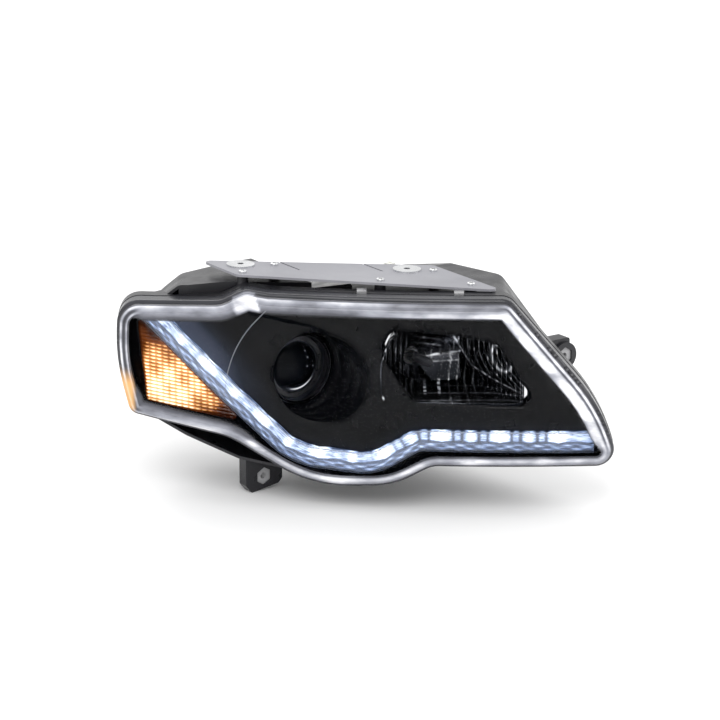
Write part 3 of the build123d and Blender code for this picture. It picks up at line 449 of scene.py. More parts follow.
def amber_material():
    """Amber acrylic, lit from behind by the bulb and darker far from it."""
    material, tree, main = shader("amber_prisms", (0.75, 0.22, 0.02), 0.12, IOR=1.49)
    lit = attribute(tree, "lit")
    ambers = [
        (0.0, (0.035, 0.006, 0.002)), (0.25, (0.2, 0.05, 0.01)), (0.5, (0.62, 0.24, 0.06)),
        (0.75, (0.95, 0.6, 0.28)), (1.0, (1.0, 0.93, 0.75)),
    ]
    drive(tree, main, "Base Color", lit, ambers)
    drive(tree, main, "Emission Color", lit, ambers)
    strength = math_node(tree, "MULTIPLY", math_node(tree, "POWER", lit, 1.6), 1.35)
    tree.links.new(strength, main.inputs["Emission Strength"])
    drive(tree, main, "Roughness", noise(tree, 120.0), [(0.3, 0.08), (0.7, 0.2)])
    return material


def reflector_material():
    """Vacuum-metallised plastic: painted highlights along the facets between painted dark reflections."""
    material, tree, main = shader("reflector_chrome", (0.5, 0.5, 0.52), 0.07, 1.0)
    broken = ramp(tree, noise(tree, 130.0, 5.0, (1.0, 1.0, 0.35)), [(0.36, 0.12), (0.6, 1.0)])
    # edge holds the painted highlights, broken up by noise; they lighten the colour and glow
    edge = math_node(tree, "MULTIPLY", attribute(tree, "edge"), broken)
    # painted dark reflections: the chrome's colour kept near black, with soft patches
    painted_dark_reflection_stops = [(0.35, (0.008, 0.009, 0.011)), (0.65, (0.05, 0.053, 0.062))]
    painted_dark_reflection = ramp(tree, noise(tree, 22.0, 3.0), painted_dark_reflection_stops)
    tree.links.new(blend_colour(tree, edge, painted_dark_reflection, (0.9, 0.91, 0.94)), main.inputs["Base Color"])
    drive(tree, main, "Emission Color", edge, [
        (0.0, (0.0, 0.0, 0.0)), (0.4, (0.02, 0.021, 0.024)), (1.0, (0.42, 0.44, 0.48)),
    ])
    main.inputs["Emission Strength"].default_value = 1.0
    drive(tree, main, "Roughness", noise(tree, 200.0), [(0.3, 0.05), (0.7, 0.12)])
    bump(tree, main, noise(tree, 90.0, 2.0), 0.08, 0.1)
    return material


MATERIALS = {
    "black_casing": textured(
        "casing_black", (0.006, 0.006, 0.008), (0.018, 0.018, 0.022), 0.24, 0.42,
        depth=0.06, Specular_IOR_Level=0.42),
    "seal_black": textured("seal_black", (0.01, 0.01, 0.01), (0.02, 0.02, 0.02), 0.5, 0.7),
    "rubber_black": textured(
        "rubber_black", (0.012, 0.012, 0.012), (0.03, 0.03, 0.03), 0.55, 0.8, grain=1500.0),
    "spring_steel": brushed("spring_steel", (0.55, 0.55, 0.56), 0.28, (1.0, 1.0, 14.0)),
    "zinc_steel": brushed("zinc_steel", (0.78, 0.79, 0.8), 0.24, (1.0, 8.0, 1.0)),
    "bezel_gloss": bezel_material(),
    "trim_chrome": brushed("trim_dark_chrome", (0.008, 0.008, 0.01), 0.3, (1.0, 1.0, 6.0)),
    "mirror_chrome": brushed("mirror_chrome", (0.82, 0.83, 0.85), 0.09, (1.0, 1.0, 3.0)),
    "board_green": textured("board_green", (0.02, 0.09, 0.04), (0.03, 0.14, 0.06), 0.35, 0.5),
    "led_white": textured("led_white", (0.9, 0.9, 0.85), (1.0, 1.0, 0.95), 0.3, 0.45),
    "plate_grey": textured(
        "plate_grey", (0.2, 0.2, 0.225), (0.29, 0.29, 0.315), 0.34, 0.5,
        grain=700.0, patch=7.0, depth=0.06),
    "insert_grey": textured("insert_grey", (0.28, 0.28, 0.29), (0.42, 0.42, 0.43), 0.35, 0.5),
    "grey_plastic": textured("grey_plastic", (0.035, 0.035, 0.038), (0.07, 0.07, 0.075), 0.4, 0.6),
    "frame_plastic": textured("frame_plastic", (0.03, 0.03, 0.032), (0.05, 0.05, 0.055), 0.45, 0.65),
    "holder_metal": brushed("holder_metal", (0.2, 0.205, 0.22), 0.34, (1.0, 1.0, 10.0)),
    "bulb_metal": brushed("bulb_metal", (0.66, 0.66, 0.66), 0.25, (1.0, 1.0, 10.0)),
    "contact_brass": brushed("contact_brass", (0.75, 0.6, 0.3), 0.25, (1.0, 9.0, 1.0)),
    "driver_alu": brushed("driver_alu", (0.55, 0.56, 0.57), 0.38, (1.0, 1.0, 8.0)),
    "white_nylon": textured("white_nylon", (0.7, 0.7, 0.66), (0.85, 0.85, 0.8), 0.35, 0.5),
}


def glass(name, color, alpha):
    """A glassy material that lets what is behind it through."""
    roughness = 0.03
    material, tree, main = shader(name, color, roughness)
    weight = tree.nodes.new("ShaderNodeFresnel")
    weight.inputs["IOR"].default_value = 1.3
    glancing = math_node(tree, "MULTIPLY", weight.outputs["Fac"], 0.8)
    tree.links.new(math_node(tree, "ADD", glancing, alpha), main.inputs["Alpha"])
    drive(tree, main, "Roughness", noise(tree, 80.0), [(0.3, roughness), (0.7, roughness * 2)])
    return material


MATERIALS["lens_glass"] = glass("aspheric_glass", (0.05, 0.055, 0.065), 0.25)
MATERIALS["bulb_quartz"] = glass("bulb_quartz", (0.1, 0.105, 0.12), 0.12)
MATERIALS["amber_glass"] = glass("amber_bulb_glass", (0.9, 0.4, 0.05), 0.5)
MATERIALS["drl_optic"] = glass("strip_optic", (0.7, 0.75, 0.85), 0.12)
MATERIALS["amber_lens"] = amber_material()
MATERIALS["lens_clear"] = clear_lens_material()

for part in frame["record"]["subparts"]:
    node = NODES[part["node"]]
    node.data.materials.clear()
    node.data.materials.append(MATERIALS[part["material_slot"]])

REFLECTOR = reflector_material()


def projector_dome():
    """The aspheric lens: a dome in painted shade, near black for the dark inside seen through the glass,
    with the painted crescent of light that the strip leaves in it.
    """
    # near-black colour: painted shade for the dark inside seen through the glass
    material, tree, main = shader("aspheric_dome", (0.002, 0.0025, 0.004), 0.06,
                                  IOR=1.5, Specular_IOR_Level=0.06)
    drive(tree, main, "Emission Color", attribute(tree, "light"), [
        (0.0, (0.0, 0.0, 0.0)), (0.5, (0.05, 0.055, 0.07)), (1.0, (0.95, 0.97, 1.0)),
    ])
    main.inputs["Emission Strength"].default_value = 1.0
    drive(tree, main, "Roughness", noise(tree, 120.0), [(0.3, 0.04), (0.7, 0.09)])
    radius, sag, back = 27.8, 12.0, 4.0
    sparks_at = ((9, 17), (11, 10), (9, 1), (19, -1))
    ball_r = (radius**2 + sag**2) / (2 * sag)
    rings, turns = 60, 160
    rows, light_rows = [], []
    for k in range(rings + 1):
        r = radius * k / rings
        y = -(math.sqrt(ball_r**2 - r**2) - (ball_r - sag))
        angle = np.linspace(0, 2 * math.pi, turns, endpoint=False)
        x, z = r * np.cos(angle) + 0.01 * (k == 0), r * np.sin(angle)
        rows.append(np.stack([LOW_X + x, np.full(turns, y), LOW_Z + z], axis=1))
        bearing = (np.arctan2(z, x) + 1.25) / 0.75
        sweep = np.exp(-(((r - 24.5) / (2.2 - 0.8 * np.minimum(np.abs(bearing), 1.5))) ** 2))
        lower = np.exp(-(bearing**4))
        ring = 0.22 * math.exp(-(((r - 27.2) / 0.5) ** 2))
        sparks = sum(np.exp(-(((x - a) ** 2 + (z - b) ** 2) / 0.9)) for a, b in sparks_at)
        light_rows.append(np.clip(sweep * lower + ring + 0.8 * sparks, 0, 1))
    rim = rows[-1].copy()
    rim[:, 1] = back
    rows.append(rim)
    light_rows.append(np.zeros(turns))
    centre = np.array([LOW_X, back, LOW_Z])
    rows.append(centre + (rim - centre) * 0.02)
    light_rows.append(np.zeros(turns))
    faces = lattice(len(rows), turns, wrap=True)
    piece = build("projector_dome", np.concatenate(rows) * MM, faces, material, "aimed_optics",
                  {"light": np.concatenate(light_rows)}, sharp=50)
    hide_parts("projector_lens")


projector_dome()
STRIP = strip_material()

# ---- outer lens ----
OUTLINE = rounded(SEAM_OUTLINE, step=2.5)
LENS_BACK = -6.0
EDGE_R = 5.0


def lens_front(s, z, edge):
    """How far out the lens face stands, with its rolled edge and the shallow steps round its rim."""
    roll = np.clip(EDGE_R - edge, 0, EDGE_R)
    drop = EDGE_R - np.sqrt(EDGE_R**2 - roll**2)
    groove = 0.7 * np.exp(-(((edge - 7.5) / 0.8) ** 2)) + 0.8 * smooth(11.0, 12.5, edge)
    return seam(s, LENS_DEEP + crown(z)) - drop - groove


# painted highlights and painted shade on the frosted rim against the distance from the lens's edge: left,
# top, slope and bottom
RIM_LEFT = ([0, 0.5, 1.4, 3.0, 4.2, 6.0, 7.4, 8.8, 9.8], [0.1, 0.25, 0.95, 0.85, 0.2, 0.12, 0.75, 0.8, 0.1])
RIM_TOP = (
    [0, 0.5, 1.4, 2.6, 5.0, 9.0, 12.0, 14.5, 16.0],
    [0.1, 0.25, 0.85, 0.72, 0.6, 0.5, 0.38, 0.22, 0.08],
)
RIM_TOP_INBOARD = (
    [0, 0.5, 1.4, 2.6, 6.0, 9.0, 11.5, 14.5, 16.0],
    [0.1, 0.2, 0.5, 0.42, 0.5, 0.66, 0.95, 0.85, 0.15],
)
RIM_SLOPE = (
    [0, 0.5, 1.2, 2.6, 3.6, 4.8, 6.5, 9.8, 13.5, 15.5, 17.0],
    [0.1, 0.3, 0.9, 0.95, 0.2, 0.25, 0.92, 1.0, 1.0, 0.8, 0.2],
)
RIM_BOTTOM = ([0, 0.5, 1.4, 4.0, 6.0, 7.5, 9.0, 10.0], [0.1, 0.22, 0.5, 0.68, 0.85, 0.7, 0.45, 0.15])
# where the bottom of the rim catches the light from behind it: place inboard, half width
GLINTS = [(150, 12), (226, 7), (20, 20), (-70, 14)]
# the distances from the lens's edge at which its face is cut into rings of points
RIM_RINGS = (0.5, 1.4, 2.6, 4.2, 5.5, 6.6, 7.5, 8.5, 9.8, 11.2, 12.6, 14.2, 15.8, 17.4)


def rim_frost_and_painted_light(points, edge):
    """How frosted the lens is at each point, and the painted highlights and painted shade on the frosting.
    """
    s, z = points[:, 0], points[:, 1]
    left = 1 - smooth(-203, -188, s)
    bottom = (1 - left) * (1 - smooth(-176, -146, z + 12 * smooth(-60, -180, s)))
    slope = (1 - left) * (1 - bottom) * smooth(178, 196, s)
    rest = 1 - left - bottom - slope
    inboard = smooth(0, 130, s)
    shares = (left, rest * (1 - inboard), rest * inboard, slope, bottom)
    # painted highlights and painted shade across the rim's width, blended between its sides
    painted_rim_light, wide = np.zeros(len(s)), np.zeros(len(s))
    tables = (RIM_LEFT, RIM_TOP, RIM_TOP_INBOARD, RIM_SLOPE, RIM_BOTTOM)
    for share, (places, values) in zip(shares, tables):
        painted_rim_light += share * np.interp(edge, places, values)
        wide += share * places[-1]
    for place, half in GLINTS:
        painted_rim_light += 0.3 * np.exp(-(((s - place) / half) ** 2)) * bottom
    # a painted highlight on the rim where its top edge steps
    facet = (1 - smooth(0.8, 1.0, np.abs(s + 78 + 0.4 * (z + 25)) / 15)) * smooth(-34, -31, z)
    painted_rim_light += 0.5 * facet
    return 1 - smooth(wide - 0.8, wide + 0.8, edge), np.clip(painted_rim_light, 0, 1)


def outer_lens():
    """The clear cover: its face, and its side wall back to the seal."""
    corners, faces, edge = filled(OUTLINE, grid=6.0, rings=RIM_RINGS)
    face_points = at(corners[:, 0], corners[:, 1], lens_front(corners[:, 0], corners[:, 1], edge))
    size = len(OUTLINE)
    front = lens_front(corners[:size, 0], corners[:size, 1], np.zeros(size))
    back = seam(OUTLINE[:, 0], LENS_BACK)
    levels = 7
    wall = []
    for k in range(1, levels + 1):
        wall.append(at(OUTLINE[:, 0], OUTLINE[:, 1], front + (back - front) * k / levels))
    points = np.concatenate([face_points, *wall])
    total = len(corners)
    rows = [range(size)] + [range(total + size * k, total + size * (k + 1)) for k in range(levels)]
    for upper, lower in zip(rows, rows[1:]):
        for n in range(size):
            after = (n + 1) % size
            faces.append((upper[n], lower[n], lower[after], upper[after]))
    every = np.concatenate([corners, *[OUTLINE] * levels])
    rim, painted_rim_light = rim_frost_and_painted_light(every, np.concatenate([edge, np.zeros(size * levels)]))
    s, z = every[:, 0], every[:, 1]
    # painted shade on the side wall, a little less along the bottom
    painted_rim_light[total:] = 0.1 + 0.1 * (z[total:] < -150)
    # near marks the painted amber light from the turn signal on the rim's left
    near = (1 - smooth(-203, -196, s)) * (1 - smooth(-118, -96, z)) * smooth(-152, -140, z)
    return build("outer_lens", points, faces, MATERIALS["lens_clear"], "lamp_body",
                 {"rim": rim, "painted_rim_light": painted_rim_light, "amber": near * 0.8}, sharp=50, thickness=LENS_T)


def parting_line():
    """The fine moulding line that curves down the lens in front of the projector."""
    path = rounded(PARTING_PATH, closed=False, step=2.0)
    across = normals(path, closed=False)
    rows, sides = [], 5
    for turn in np.linspace(0, math.pi, sides):
        spot = path + across * 0.28 * math.cos(turn)
        face = seam(spot[:, 0], LENS_DEEP + crown(spot[:, 1]))
        rows.append(at(spot[:, 0], spot[:, 1], face - 0.8 + 0.25 * math.sin(turn)))
    material = textured("moulding_line", (0.22, 0.23, 0.26), (0.34, 0.35, 0.4), 0.3, 0.45)
    build("moulding_line", np.concatenate(rows), lattice(sides, len(path)), material, "lamp_body",
          thickness=-0.2)


parting_line()
cover = outer_lens()
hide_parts("lens_cover")


# ---- bezel ----
def ribbon_outline(half):
    """The closed outline of the light strip at that half width, rounded at its inboard end."""
    path = rounded(STRIP_PATH, closed=False, step=3.0)
    side = normals(path, closed=False) * half
    turn = np.linspace(math.pi / 2, -math.pi / 2, 16)[1:-1]
    end = path[-1] + half * np.stack([np.cos(turn), np.sin(turn)], axis=1)
    return np.concatenate([path + side, end, (path - side)[::-1]])


STRIP_LINE = rounded(STRIP_PATH, closed=False, step=1.0)
STRIP_LENGTH = float(np.sum(np.linalg.norm(np.diff(STRIP_LINE, axis=0), axis=1)))
BROW_LINE = rounded(BROW, closed=False, step=4.0)
LEDGE_LINE = np.array([(96.0, -130.0), (150.0, -131.0), (252.0, -131.0), (262.0, -138.0)])
CREASE_LINE = np.array([(178.0, -30.0), (190.0, -48.0), (238.0, -119.0), (252.0, -150.0)])
BAY_DEEP, LEDGE_DEEP, CREASE_DEEP = 7.0, 0.8, 0.5
BEZEL_SHELL = 1.0


def bezel_front(points):
    """How far out the bezel's face stands: a brow over the projector bay, a ledge and a crease."""
    s = points[:, 0]
    gap, side = distance(points, BROW_LINE, closed=False)
    brow = smooth(-2.2, 2.2, gap * side)
    from_strip = distance(points, STRIP_LINE, closed=False)[0]
    bay = BAY_DEEP * (1 - smooth(8, 34, s)) * (1 - brow) * (1 - smooth(-20, 60, 40 - from_strip))
    gap, side = distance(points, LEDGE_LINE, closed=False)
    ledge = LEDGE_DEEP * smooth(0.0, 2.0, -gap * side) * smooth(96, 112, s) * (1 - smooth(240, 262, s))
    gap, side = distance(points, CREASE_LINE, closed=False)
    crease = CREASE_DEEP * smooth(0.0, 2.5, gap * side) * smooth(170, 190, s)
    return seam(s, BEZEL_T) - bay - ledge - crease


def circle(s, z, radius, count=120):
    """A closed round path."""
    turn = np.linspace(0, 2 * math.pi, count, endpoint=False)
    return np.stack([s + radius * np.cos(turn), z + radius * np.sin(turn)], axis=1)


def bezel_glow(points):
    """How strongly the light strip is seen in the bezel beside its upper edge."""
    gap, side = distance(points, STRIP_LINE, closed=False)
    near = 0.8 * np.exp(-((gap / 14.0) ** 2)) + 0.42 * np.exp(-(((gap - 24) / 14.0) ** 2))
    along = smooth(-190, -150, points[:, 0]) * (1 - smooth(-120, -40, points[:, 0]))
    flat = 0.22 * np.exp(-((gap / 14.0) ** 2)) * smooth(-60, 0, points[:, 0])
    return np.where(side > 0, near * along + flat, 0)


bezel_outline = inset(OUTLINE, 3.4)
funnel_mouth = circle(FUNNEL_S, FUNNEL_Z, FUNNEL_R)
high_mouth = rounded(HIGH_OUTLINE, step=2.0)
amber_mouth = inset(rounded(AMBER_OUTLINE, step=2.0), -0.3)
strip_mouth = ribbon_outline(STRIP_WIDE / 2 + 0.4)
mouths = [funnel_mouth, high_mouth, amber_mouth, strip_mouth]
corners, faces, _ = filled(bezel_outline, mouths, grid=3.0)
bezel_points = at(corners[:, 0], corners[:, 1], bezel_front(corners))
bezel_piece = build("bezel_face", bezel_points, faces, MATERIALS["bezel_gloss"], "lamp_body",
                    {"glow": bezel_glow(corners)}, sharp=60, thickness=BEZEL_SHELL)
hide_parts("bezel")


def collar(name, path, deep, flare, material):
    """A wall that turns back from the bezel's face along a closed path."""
    levels = 8
    rows = []
    front = bezel_front(path)
    for k in range(levels + 1):
        share = k / levels
        moved = inset(path, -flare * share)
        rolled = 1 - math.cos(min(share * 4, 1) * math.pi / 2)
        rows.append(at(moved[:, 0], moved[:, 1], front + 0.1 - rolled - deep * share))
    faces = lattice(len(rows), len(path), wrap=True)
    dark = {"glow": np.zeros(len(path) * len(rows))}
    build(name, np.concatenate(rows), faces, material, "lamp_body", dark,
          thickness=BEZEL_SHELL)


collar("high_beam_opening_wall", high_mouth, 1.3, 0.4, MATERIALS["bezel_gloss"])


def projector_funnel():
    """The stepped bowl between the bezel's face and the projector."""
    levels = 36
    turn = np.linspace(0, 2 * math.pi, len(funnel_mouth), endpoint=False)
    start = at(funnel_mouth[:, 0], funnel_mouth[:, 1], bezel_front(funnel_mouth))
    x, z = LOW_X + HOLE_R * np.cos(turn), LOW_Z + HOLE_R * np.sin(turn)
    end = np.stack([x, np.full(len(turn), FUNNEL_END_Y), z], axis=1) * MM
    centre = np.array([LOW_X, FUNNEL_END_Y, LOW_Z]) * MM
    rows = []
    for k in range(levels + 1):
        share = k / levels
        ring = start + (end - start) * share
        belly = 2.5 * math.sin(share * math.pi) + 0.7 * abs(math.sin(share * math.pi * 4))
        away = ring - centre
        away /= np.linalg.norm(away, axis=1)[:, None]
        rows.append(ring + away * belly * MM)
    faces = lattice(len(rows), len(turn), wrap=True, flip=True)
    dark = {"glow": np.zeros(len(turn) * len(rows))}
    build("projector_funnel", np.concatenate(rows), faces, MATERIALS["bezel_gloss"], "lamp_body",
          dark, sharp=25, thickness=1.2)


projector_funnel()


# ---- light strip ----
# places across the strip: its step, and the bright patch above each diode
STEP_W, PATCH_W = -3.0, 4.5
# where the dark joints between facets lie, as a share of the way from one diode to the next
JOINT_PHASES = (0.2, 0.36, 0.64, 0.8)


def strip_points(count):
    """Points spread evenly along the strip, their shares of its length and the normals there."""
    shares = np.linspace(0, 1, count)
    lengths = np.linspace(0, 1, len(STRIP_LINE))
    line = np.stack([np.interp(shares, lengths, STRIP_LINE[:, axis]) for axis in (0, 1)], axis=1)
    return shares, line, normals(line, closed=False)


def strip_reflector():
    """A faceted trough: one cell for each diode, a rib between cells and a step along its lower side."""
    count, across = 900, 39
    shares, line, side = strip_points(count)
    half = STRIP_WIDE / 2
    run = shares * STRIP_LENGTH
    spots = np.array(LED_SHARES) * STRIP_LENGTH
    order = np.clip(np.searchsorted(spots, run) - 1, 0, len(spots) - 2)
    phase = (run - spots[order]) / (spots[order + 1] - spots[order])
    points, glow, runs, widths = [], [], [], []
    for w in np.linspace(-half, half, across):
        spot = line + side * w
        upper = w > STEP_W
        cell = (2 * phase) % 1.0
        bowl = 4.0 * (2 * cell - 1) ** 2 * upper
        facet = 0.7 * np.abs(np.sin(run * math.pi / 5.5)) * (0.5 + 0.5 * math.cos(w * 0.8))
        on_step = abs(w - STEP_W) < 0.7
        rise = 9.0 * smooth(half - 1.0, half, abs(w)) + 3.5 * (not upper) + 1.8 * on_step
        height = np.minimum(-5.8 + bowl + facet + rise, 2.0)
        points.append(at(spot[:, 0], spot[:, 1], seam(spot[:, 0]) + height))
        near = np.zeros(count)
        for place in spots:
            patch = np.exp(-(((run - place) / 12) ** 2 + ((w - PATCH_W) / 7.0) ** 2))
            near = np.maximum(near, 1.5 * patch)
            near = np.maximum(near, 1.05 * np.exp(-(((run - place) / 19) ** 2)) * upper)
        middle = 0.95 * np.exp(-(((phase - 0.5) / 0.13) ** 2)) * upper
        ground = 0.62 if upper else 0.34 + 0.25 * np.sin(run * 0.31) * np.sin(run * 0.083 + w)
        flat = 0.15 + 0.85 * smooth(60, 100, line[:, 0])
        joints = sum(np.exp(-(((phase - place) / 0.03) ** 2)) for place in JOINT_PHASES) * 0.55 * flat
        light = np.maximum(np.maximum(near, middle), ground) - joints * upper
        line_dark = 0.9 * math.exp(-(((w - STEP_W) / 0.8) ** 2))
        edges = 0.35 * smooth(half - 1.0, half - 0.3, abs(w))
        glow.append(np.clip(light * (1 - line_dark) - edges, 0, 1.4))
        runs.append(run)
        widths.append(np.full(count, w))
    values = {"glow": np.concatenate(glow), "run": np.concatenate(runs), "width": np.concatenate(widths)}
    faces = lattice(across, count, flip=True)
    return build("strip_reflector", np.concatenate(points), faces, STRIP, "lamp_body",
                 values, sharp=20, thickness=1.0)


strip_piece = strip_reflector()
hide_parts("drl_reflector_strip")


def strip_optic():
    """The thin clear cover of the strip, with fine ribs across it."""
    count, across = 500, 7
    shares, line, side = strip_points(count)
    points = []
    for w in np.linspace(-STRIP_WIDE / 2 + 0.3, STRIP_WIDE / 2 - 0.3, across):
        spot = line + side * w
        rib = 0.25 * np.sin(shares * STRIP_LENGTH * math.pi / 3.0)
        points.append(at(spot[:, 0], spot[:, 1], seam(spot[:, 0], 5.2) + rib))
    faces = lattice(across, count, flip=True)
    return build("strip_optic", np.concatenate(points), faces, MATERIALS["drl_optic"], "lamp_body",
                 sharp=60, thickness=1.2)


optic = strip_optic()
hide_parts("drl_light_guide")


def diodes():
    """A bright domed chip for each diode, near the strip's upper edge."""
    material, _, _ = shader("diode_light", (1.0, 1.0, 1.0), 0.3,
                            Emission_Color=(1.0, 1.0, 0.98, 1), Emission_Strength=14.0)
    rings, turns = 5, 16
    dome_r, dome_high = 2.3, 2.0
    corners, faces = [], []
    for share in LED_SHARES:
        index = min(int(share * (len(STRIP_LINE) - 1)), len(STRIP_LINE) - 1)
        spot = STRIP_LINE[index] + normals(STRIP_LINE, closed=False)[index] * 5.2
        start = len(corners)
        for ring in range(rings):
            lift = ring / (rings - 1) * math.pi / 2
            for n in range(turns):
                angle = 2 * math.pi * n / turns
                radius = dome_r * math.cos(lift) + 0.02
                s, z = spot[0] + radius * math.cos(angle), spot[1] + radius * math.sin(angle)
                corners.append(at(s, z, seam(spot[0], -2.0) + dome_high * math.sin(lift)))
        faces += [tuple(start + i for i in quad) for quad in lattice(rings, turns, wrap=True)]
        faces.append(tuple(start + (rings - 1) * turns + n for n in range(turns)))
        faces.append(tuple(start + n for n in reversed(range(turns))))
    return build("diodes", np.array(corners), faces, material, "lamp_body")


chips = diodes()
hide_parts("drl_leds")


# ---- turn signal ----
def amber_lens():
    """A triangular amber lens covered in rows of small pillows."""
    outline = rounded(AMBER_OUTLINE, step=1.5)
    corners, faces, edge = filled(outline, grid=0.65)
    s, z = corners[:, 0], corners[:, 1]
    column, row = 6.8, 3.9
    slant = z + 0.1 * s
    rounding = 0.72 + 0.28 * np.abs(np.sin(s * math.pi / column)) ** 0.5
    pillow = np.abs(np.sin(slant * math.pi / row)) ** 0.7 * rounding
    front = seam(s, BEZEL_T - 0.8) + 1.3 * pillow * smooth(0.5, 2.5, edge)
    toward = np.hypot((s + 172) / 80, (z + 133) / 62)
    lit = 1.02 - 0.62 * toward
    patch = 0.16 * np.sin(s * 0.21 + 1.3) * np.sin(z * 0.17 + 0.05 * s) - 0.22 * smooth(-95, -60, z)
    lower_right = 0.42 * smooth(-145, -118, s) * (1 - smooth(-150, -128, z))
    lit = np.clip(lit + patch - lower_right, 0.04, 1) * (0.5 + 0.5 * pillow)
    lit = lit * (0.35 + 0.65 * smooth(0.3, 3.0, edge))
    lit = np.clip(lit + 0.25 * (pillow > 0.9) * (lit > 0.3), 0, 1)
    return build("amber_lens", at(s, z, front), faces, MATERIALS["amber_lens"], "lamp_body",
                 {"lit": lit}, sharp=70, thickness=1.6)


amber = amber_lens()
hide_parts("turn_lens_amber")


# ---- high-beam reflector ----
BULB_HOLE_R = 10.5
BOWL_BACK = -9.0
FLUTE_WIDE, FLUTE_DEEP = 4.6, 1.1
RIM_P = 80.0


def stroke(s, z, path, wide):
    """One along a drawn line and fading within its width."""
    gap = distance(np.stack([s, z], axis=1), np.array(path, float), closed=False)[0]
    return np.exp(-((gap / wide) ** 2))


def painted_facet_highlights(s, z):
    """Painted highlights on the high-beam reflector's facets, by how they line up seen from outside."""
    streaks = smooth(0.2, 1.0, np.sin(s * 2.3 + 0.9 * np.sin(z * 0.06)) + 0.5 * np.sin(s * 1.1 + 2))
    streaks = streaks * (1 - smooth(84, 96, s)) * 0.7
    streaks *= 0.5 + 0.5 * np.sin(z * 0.11 + 2.6)
    tube = 0.9 * stroke(s, z, [(97, -74), (120, -70), (146, -67)], 1.5)
    tube = tube + 0.45 * stroke(s, z, [(97, -80), (146, -77)], 0.8)
    rings = smooth(0.75, 1.0, np.sin(s * 0.62)) * stroke(s, z, [(100, -72), (146, -67)], 4.5) * 0.7
    steps = smooth(0.2, 1.0, np.sin(z * 0.95 + s * 0.12) + 0.4 * np.sin(s * 0.43))
    steps = steps * smooth(92, 100, s) * (1 - smooth(120, 132, s))
    steps *= smooth(-66, -60, z) * 0.65
    bars = smooth(0.2, 1.0, np.sin(s * 0.42 + 0.7) + 0.6 * np.sin(s * 1.25))
    bars = bars * smooth(90, 97, s) * (1 - smooth(124, 134, s))
    bars *= (1 - smooth(-101, -97, z)) * smooth(-119, -116, z) * 0.9
    ledges = smooth(0.7, 1.0, np.sin(z * 0.8)) * (1 - smooth(-112, -106, z)) * smooth(96, 104, s) * 0.5
    thin = smooth(0.88, 1.0, np.sin(s * 0.7 + 3.0 * np.sin(z * 0.045)))
    thin = thin * smooth(122, 132, s) * (1 - smooth(160, 170, s)) * 0.38
    right = smooth(0, 6, s - np.interp(-z, [44, 50, 83, 113, 125], [132, 138, 159, 206, 226]))
    curls = smooth(0.55, 1.0, np.sin(s * 1.15 - 0.01 * (z + 70) ** 2 + z * 0.3)) * right * 0.5
    bound = stroke(s, z, [(138, -50), (149, -66), (159, -83), (180, -98), (206, -113)], 0.9) * 0.8
    turn = np.linspace(0, 2 * math.pi, 40)
    oval = np.stack([188 + 9 * np.cos(turn) - 4 * np.sin(turn), -75 + 15 * np.sin(turn)], axis=1)
    loop = stroke(s, z, oval, 1.7) * 0.85
    hole = np.exp(-((((s - 89) / 9) ** 2 + ((z + 74) / 9) ** 2) ** 2))
    total = np.maximum.reduce([streaks, tube, rings, steps, bars, ledges, thin, curls, bound, loop])
    return np.clip(total * (1 - hole), 0, 1)


def high_reflector():
    """A boxed paraboloid cut into upright facets, out to a rim behind the bezel."""
    left, right, bottom, top = HIGH_BOX
    turns, bowl_rows, wall_rows = 420, 40, 110
    angles = np.linspace(0, 2 * math.pi, turns, endpoint=False)
    reach = np.zeros(turns)
    half_w, half_h = (right - left) / 2, (top - bottom) / 2
    mid_x, mid_z = (left + right) / 2, (bottom + top) / 2
    for n, angle in enumerate(angles):
        low, high = 0.0, 140.0
        for _ in range(40):
            test = (low + high) / 2
            x = (HIGH_X + test * math.cos(angle) - mid_x) / half_w
            z = (HIGH_Z + test * math.sin(angle) - mid_z) / half_h
            side_cut = (x * half_w - half_w + CORNER_CUT) / CORNER_CUT
            top_cut = (z * half_h - half_h + CORNER_DROP) / CORNER_DROP
            within = abs(x) ** 14 + abs(z) ** 14 < 1 and side_cut + top_cut < 1
            low, high = (test, high) if within else (low, test)
        reach[n] = low
    rows = []
    for k in range(bowl_rows + 1):
        radius = BULB_HOLE_R + (reach - BULB_HOLE_R) * k / bowl_rows
        x, z = HIGH_X + radius * np.cos(angles), HIGH_Z + radius * np.sin(angles)
        rows.append(np.stack([x, HIGH_VERTEX - radius**2 / (4 * HIGH_FOCUS), z], axis=1))
    last = rows[-1]
    rim = np.zeros(turns)
    for n in range(turns):
        low, high = 0.0, 260.0
        for _ in range(40):
            test = (low + high) / 2
            place = np.array([last[n, 0], last[n, 1] - test, last[n, 2]])
            s, p = place @ ALONG, place @ OUTWARD
            low, high = (test, high) if p < seam(s, BOWL_BACK) else (low, test)
        rim[n] = low
    for k in range(1, wall_rows + 1):
        row = last.copy()
        row[:, 1] -= rim * k / wall_rows
        rows.append(row)
    points = np.concatenate(rows)
    s = points @ ALONG
    phase = np.abs((s / FLUTE_WIDE) % 1.0 - 0.5) * 2
    scallop = FLUTE_DEEP * (1 - phase**2)
    inward = np.array([HIGH_X, 0.0, HIGH_Z]) - points
    inward[:, 1] = -35.0
    inward /= np.linalg.norm(inward, axis=1)[:, None]
    fade = np.repeat(np.clip(np.arange(len(rows)) / 4, 0, 1), turns)
    seen = points[:, 2] + (RIM_P - points @ OUTWARD) * math.tan(VIEW_LIFT)
    fluted = (s < 90) | (s > 150)
    moved = points + inward * (scallop * fade * fluted)[:, None]
    faces = lattice(len(rows), turns, wrap=True, flip=True)
    # the edge values are painted highlights laid out as seen from the camera's height
    build("high_beam_bowl", moved * MM, faces, REFLECTOR, "aimed_optics",
          {"edge": painted_facet_highlights(s, seen)}, sharp=18, thickness=-2.0)


high_reflector()


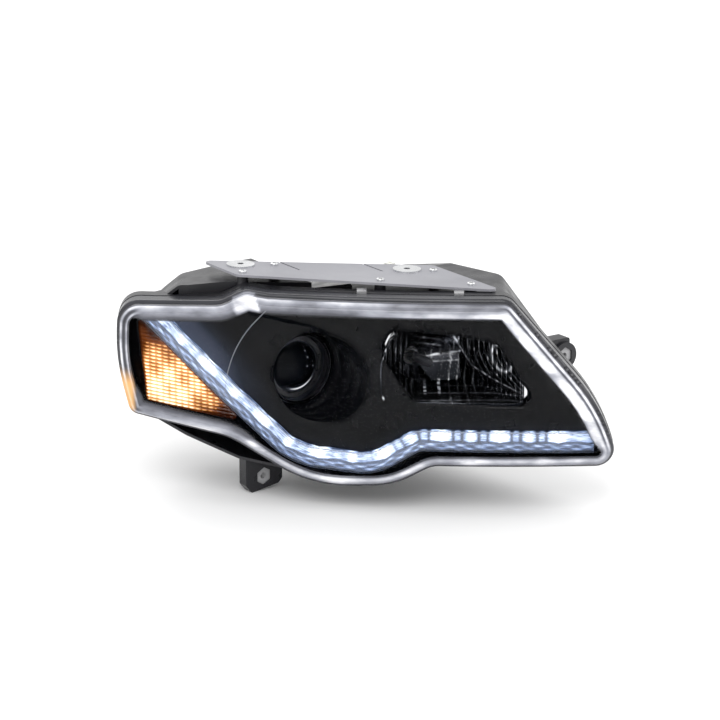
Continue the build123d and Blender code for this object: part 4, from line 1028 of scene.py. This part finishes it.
# ---- stage, light and camera ----
def floor_and_light():
    """A pale floor, a pale sky and three soft boxes."""
    lowest = CAD_BOX[0][2]
    mesh = bpy.data.meshes.new("floor")
    size = 12.0
    square = [(-size, -size, lowest), (size, -size, lowest), (size, size, lowest), (-size, size, lowest)]
    mesh.from_pydata(square, [], [(0, 1, 2, 3)])
    floor = bpy.data.objects.new("floor", mesh)
    bpy.context.scene.collection.objects.link(floor)
    material, _, _ = shader("floor_pale", (0.93, 0.93, 0.93), 0.9, Specular_IOR_Level=0.1)
    mesh.materials.append(material)

    world = bpy.data.worlds.new("sky")
    world.use_nodes = True
    world.node_tree.nodes["Background"].inputs["Color"].default_value = (1.0, 1.0, 1.0, 1)
    world.node_tree.nodes["Background"].inputs["Strength"].default_value = 0.95
    bpy.context.scene.world = world

    boxes = [
        ("key", (-1.6, -1.6, 2.2), 1.8, 45.0),
        ("fill", (2.2, -1.6, 1.4), 1.6, 18.0),
        ("back", (0.4, 2.2, 2.0), 1.8, 26.0),
    ]
    for name, place, wide, power in boxes:
        lamp = bpy.data.lights.new(name, "AREA")
        lamp.shape = "SQUARE"
        lamp.size = wide
        lamp.energy = power
        holder = bpy.data.objects.new(name, lamp)
        holder.location = place
        holder.rotation_euler = (Vector((0, 0, -0.1)) - Vector(place)).to_track_quat("-Z", "Y").to_euler()
        bpy.context.scene.collection.objects.link(holder)


def add_camera():
    """The photograph's view: 35 degrees round to the lamp's outboard side and 17 degrees up."""
    away, frame_wide = 3.0, 0.756
    toward = Vector(tuple(OUTWARD)) * math.cos(VIEW_LIFT) + Vector((0, 0, 1)) * math.sin(VIEW_LIFT)
    target = Vector(tuple(at(38.3, -89.9, 40.0)))
    camera = bpy.data.cameras.new("camera")
    camera.sensor_width = 36.0
    camera.lens = 36.0 * away / frame_wide
    holder = bpy.data.objects.new("camera", camera)
    holder.location = target + toward * away
    holder.rotation_euler = (-toward).to_track_quat("-Z", "Y").to_euler()
    bpy.context.scene.collection.objects.link(holder)
    bpy.context.scene.camera = holder


floor_and_light()
add_camera()
bpy.context.scene.view_settings.view_transform = "Standard"
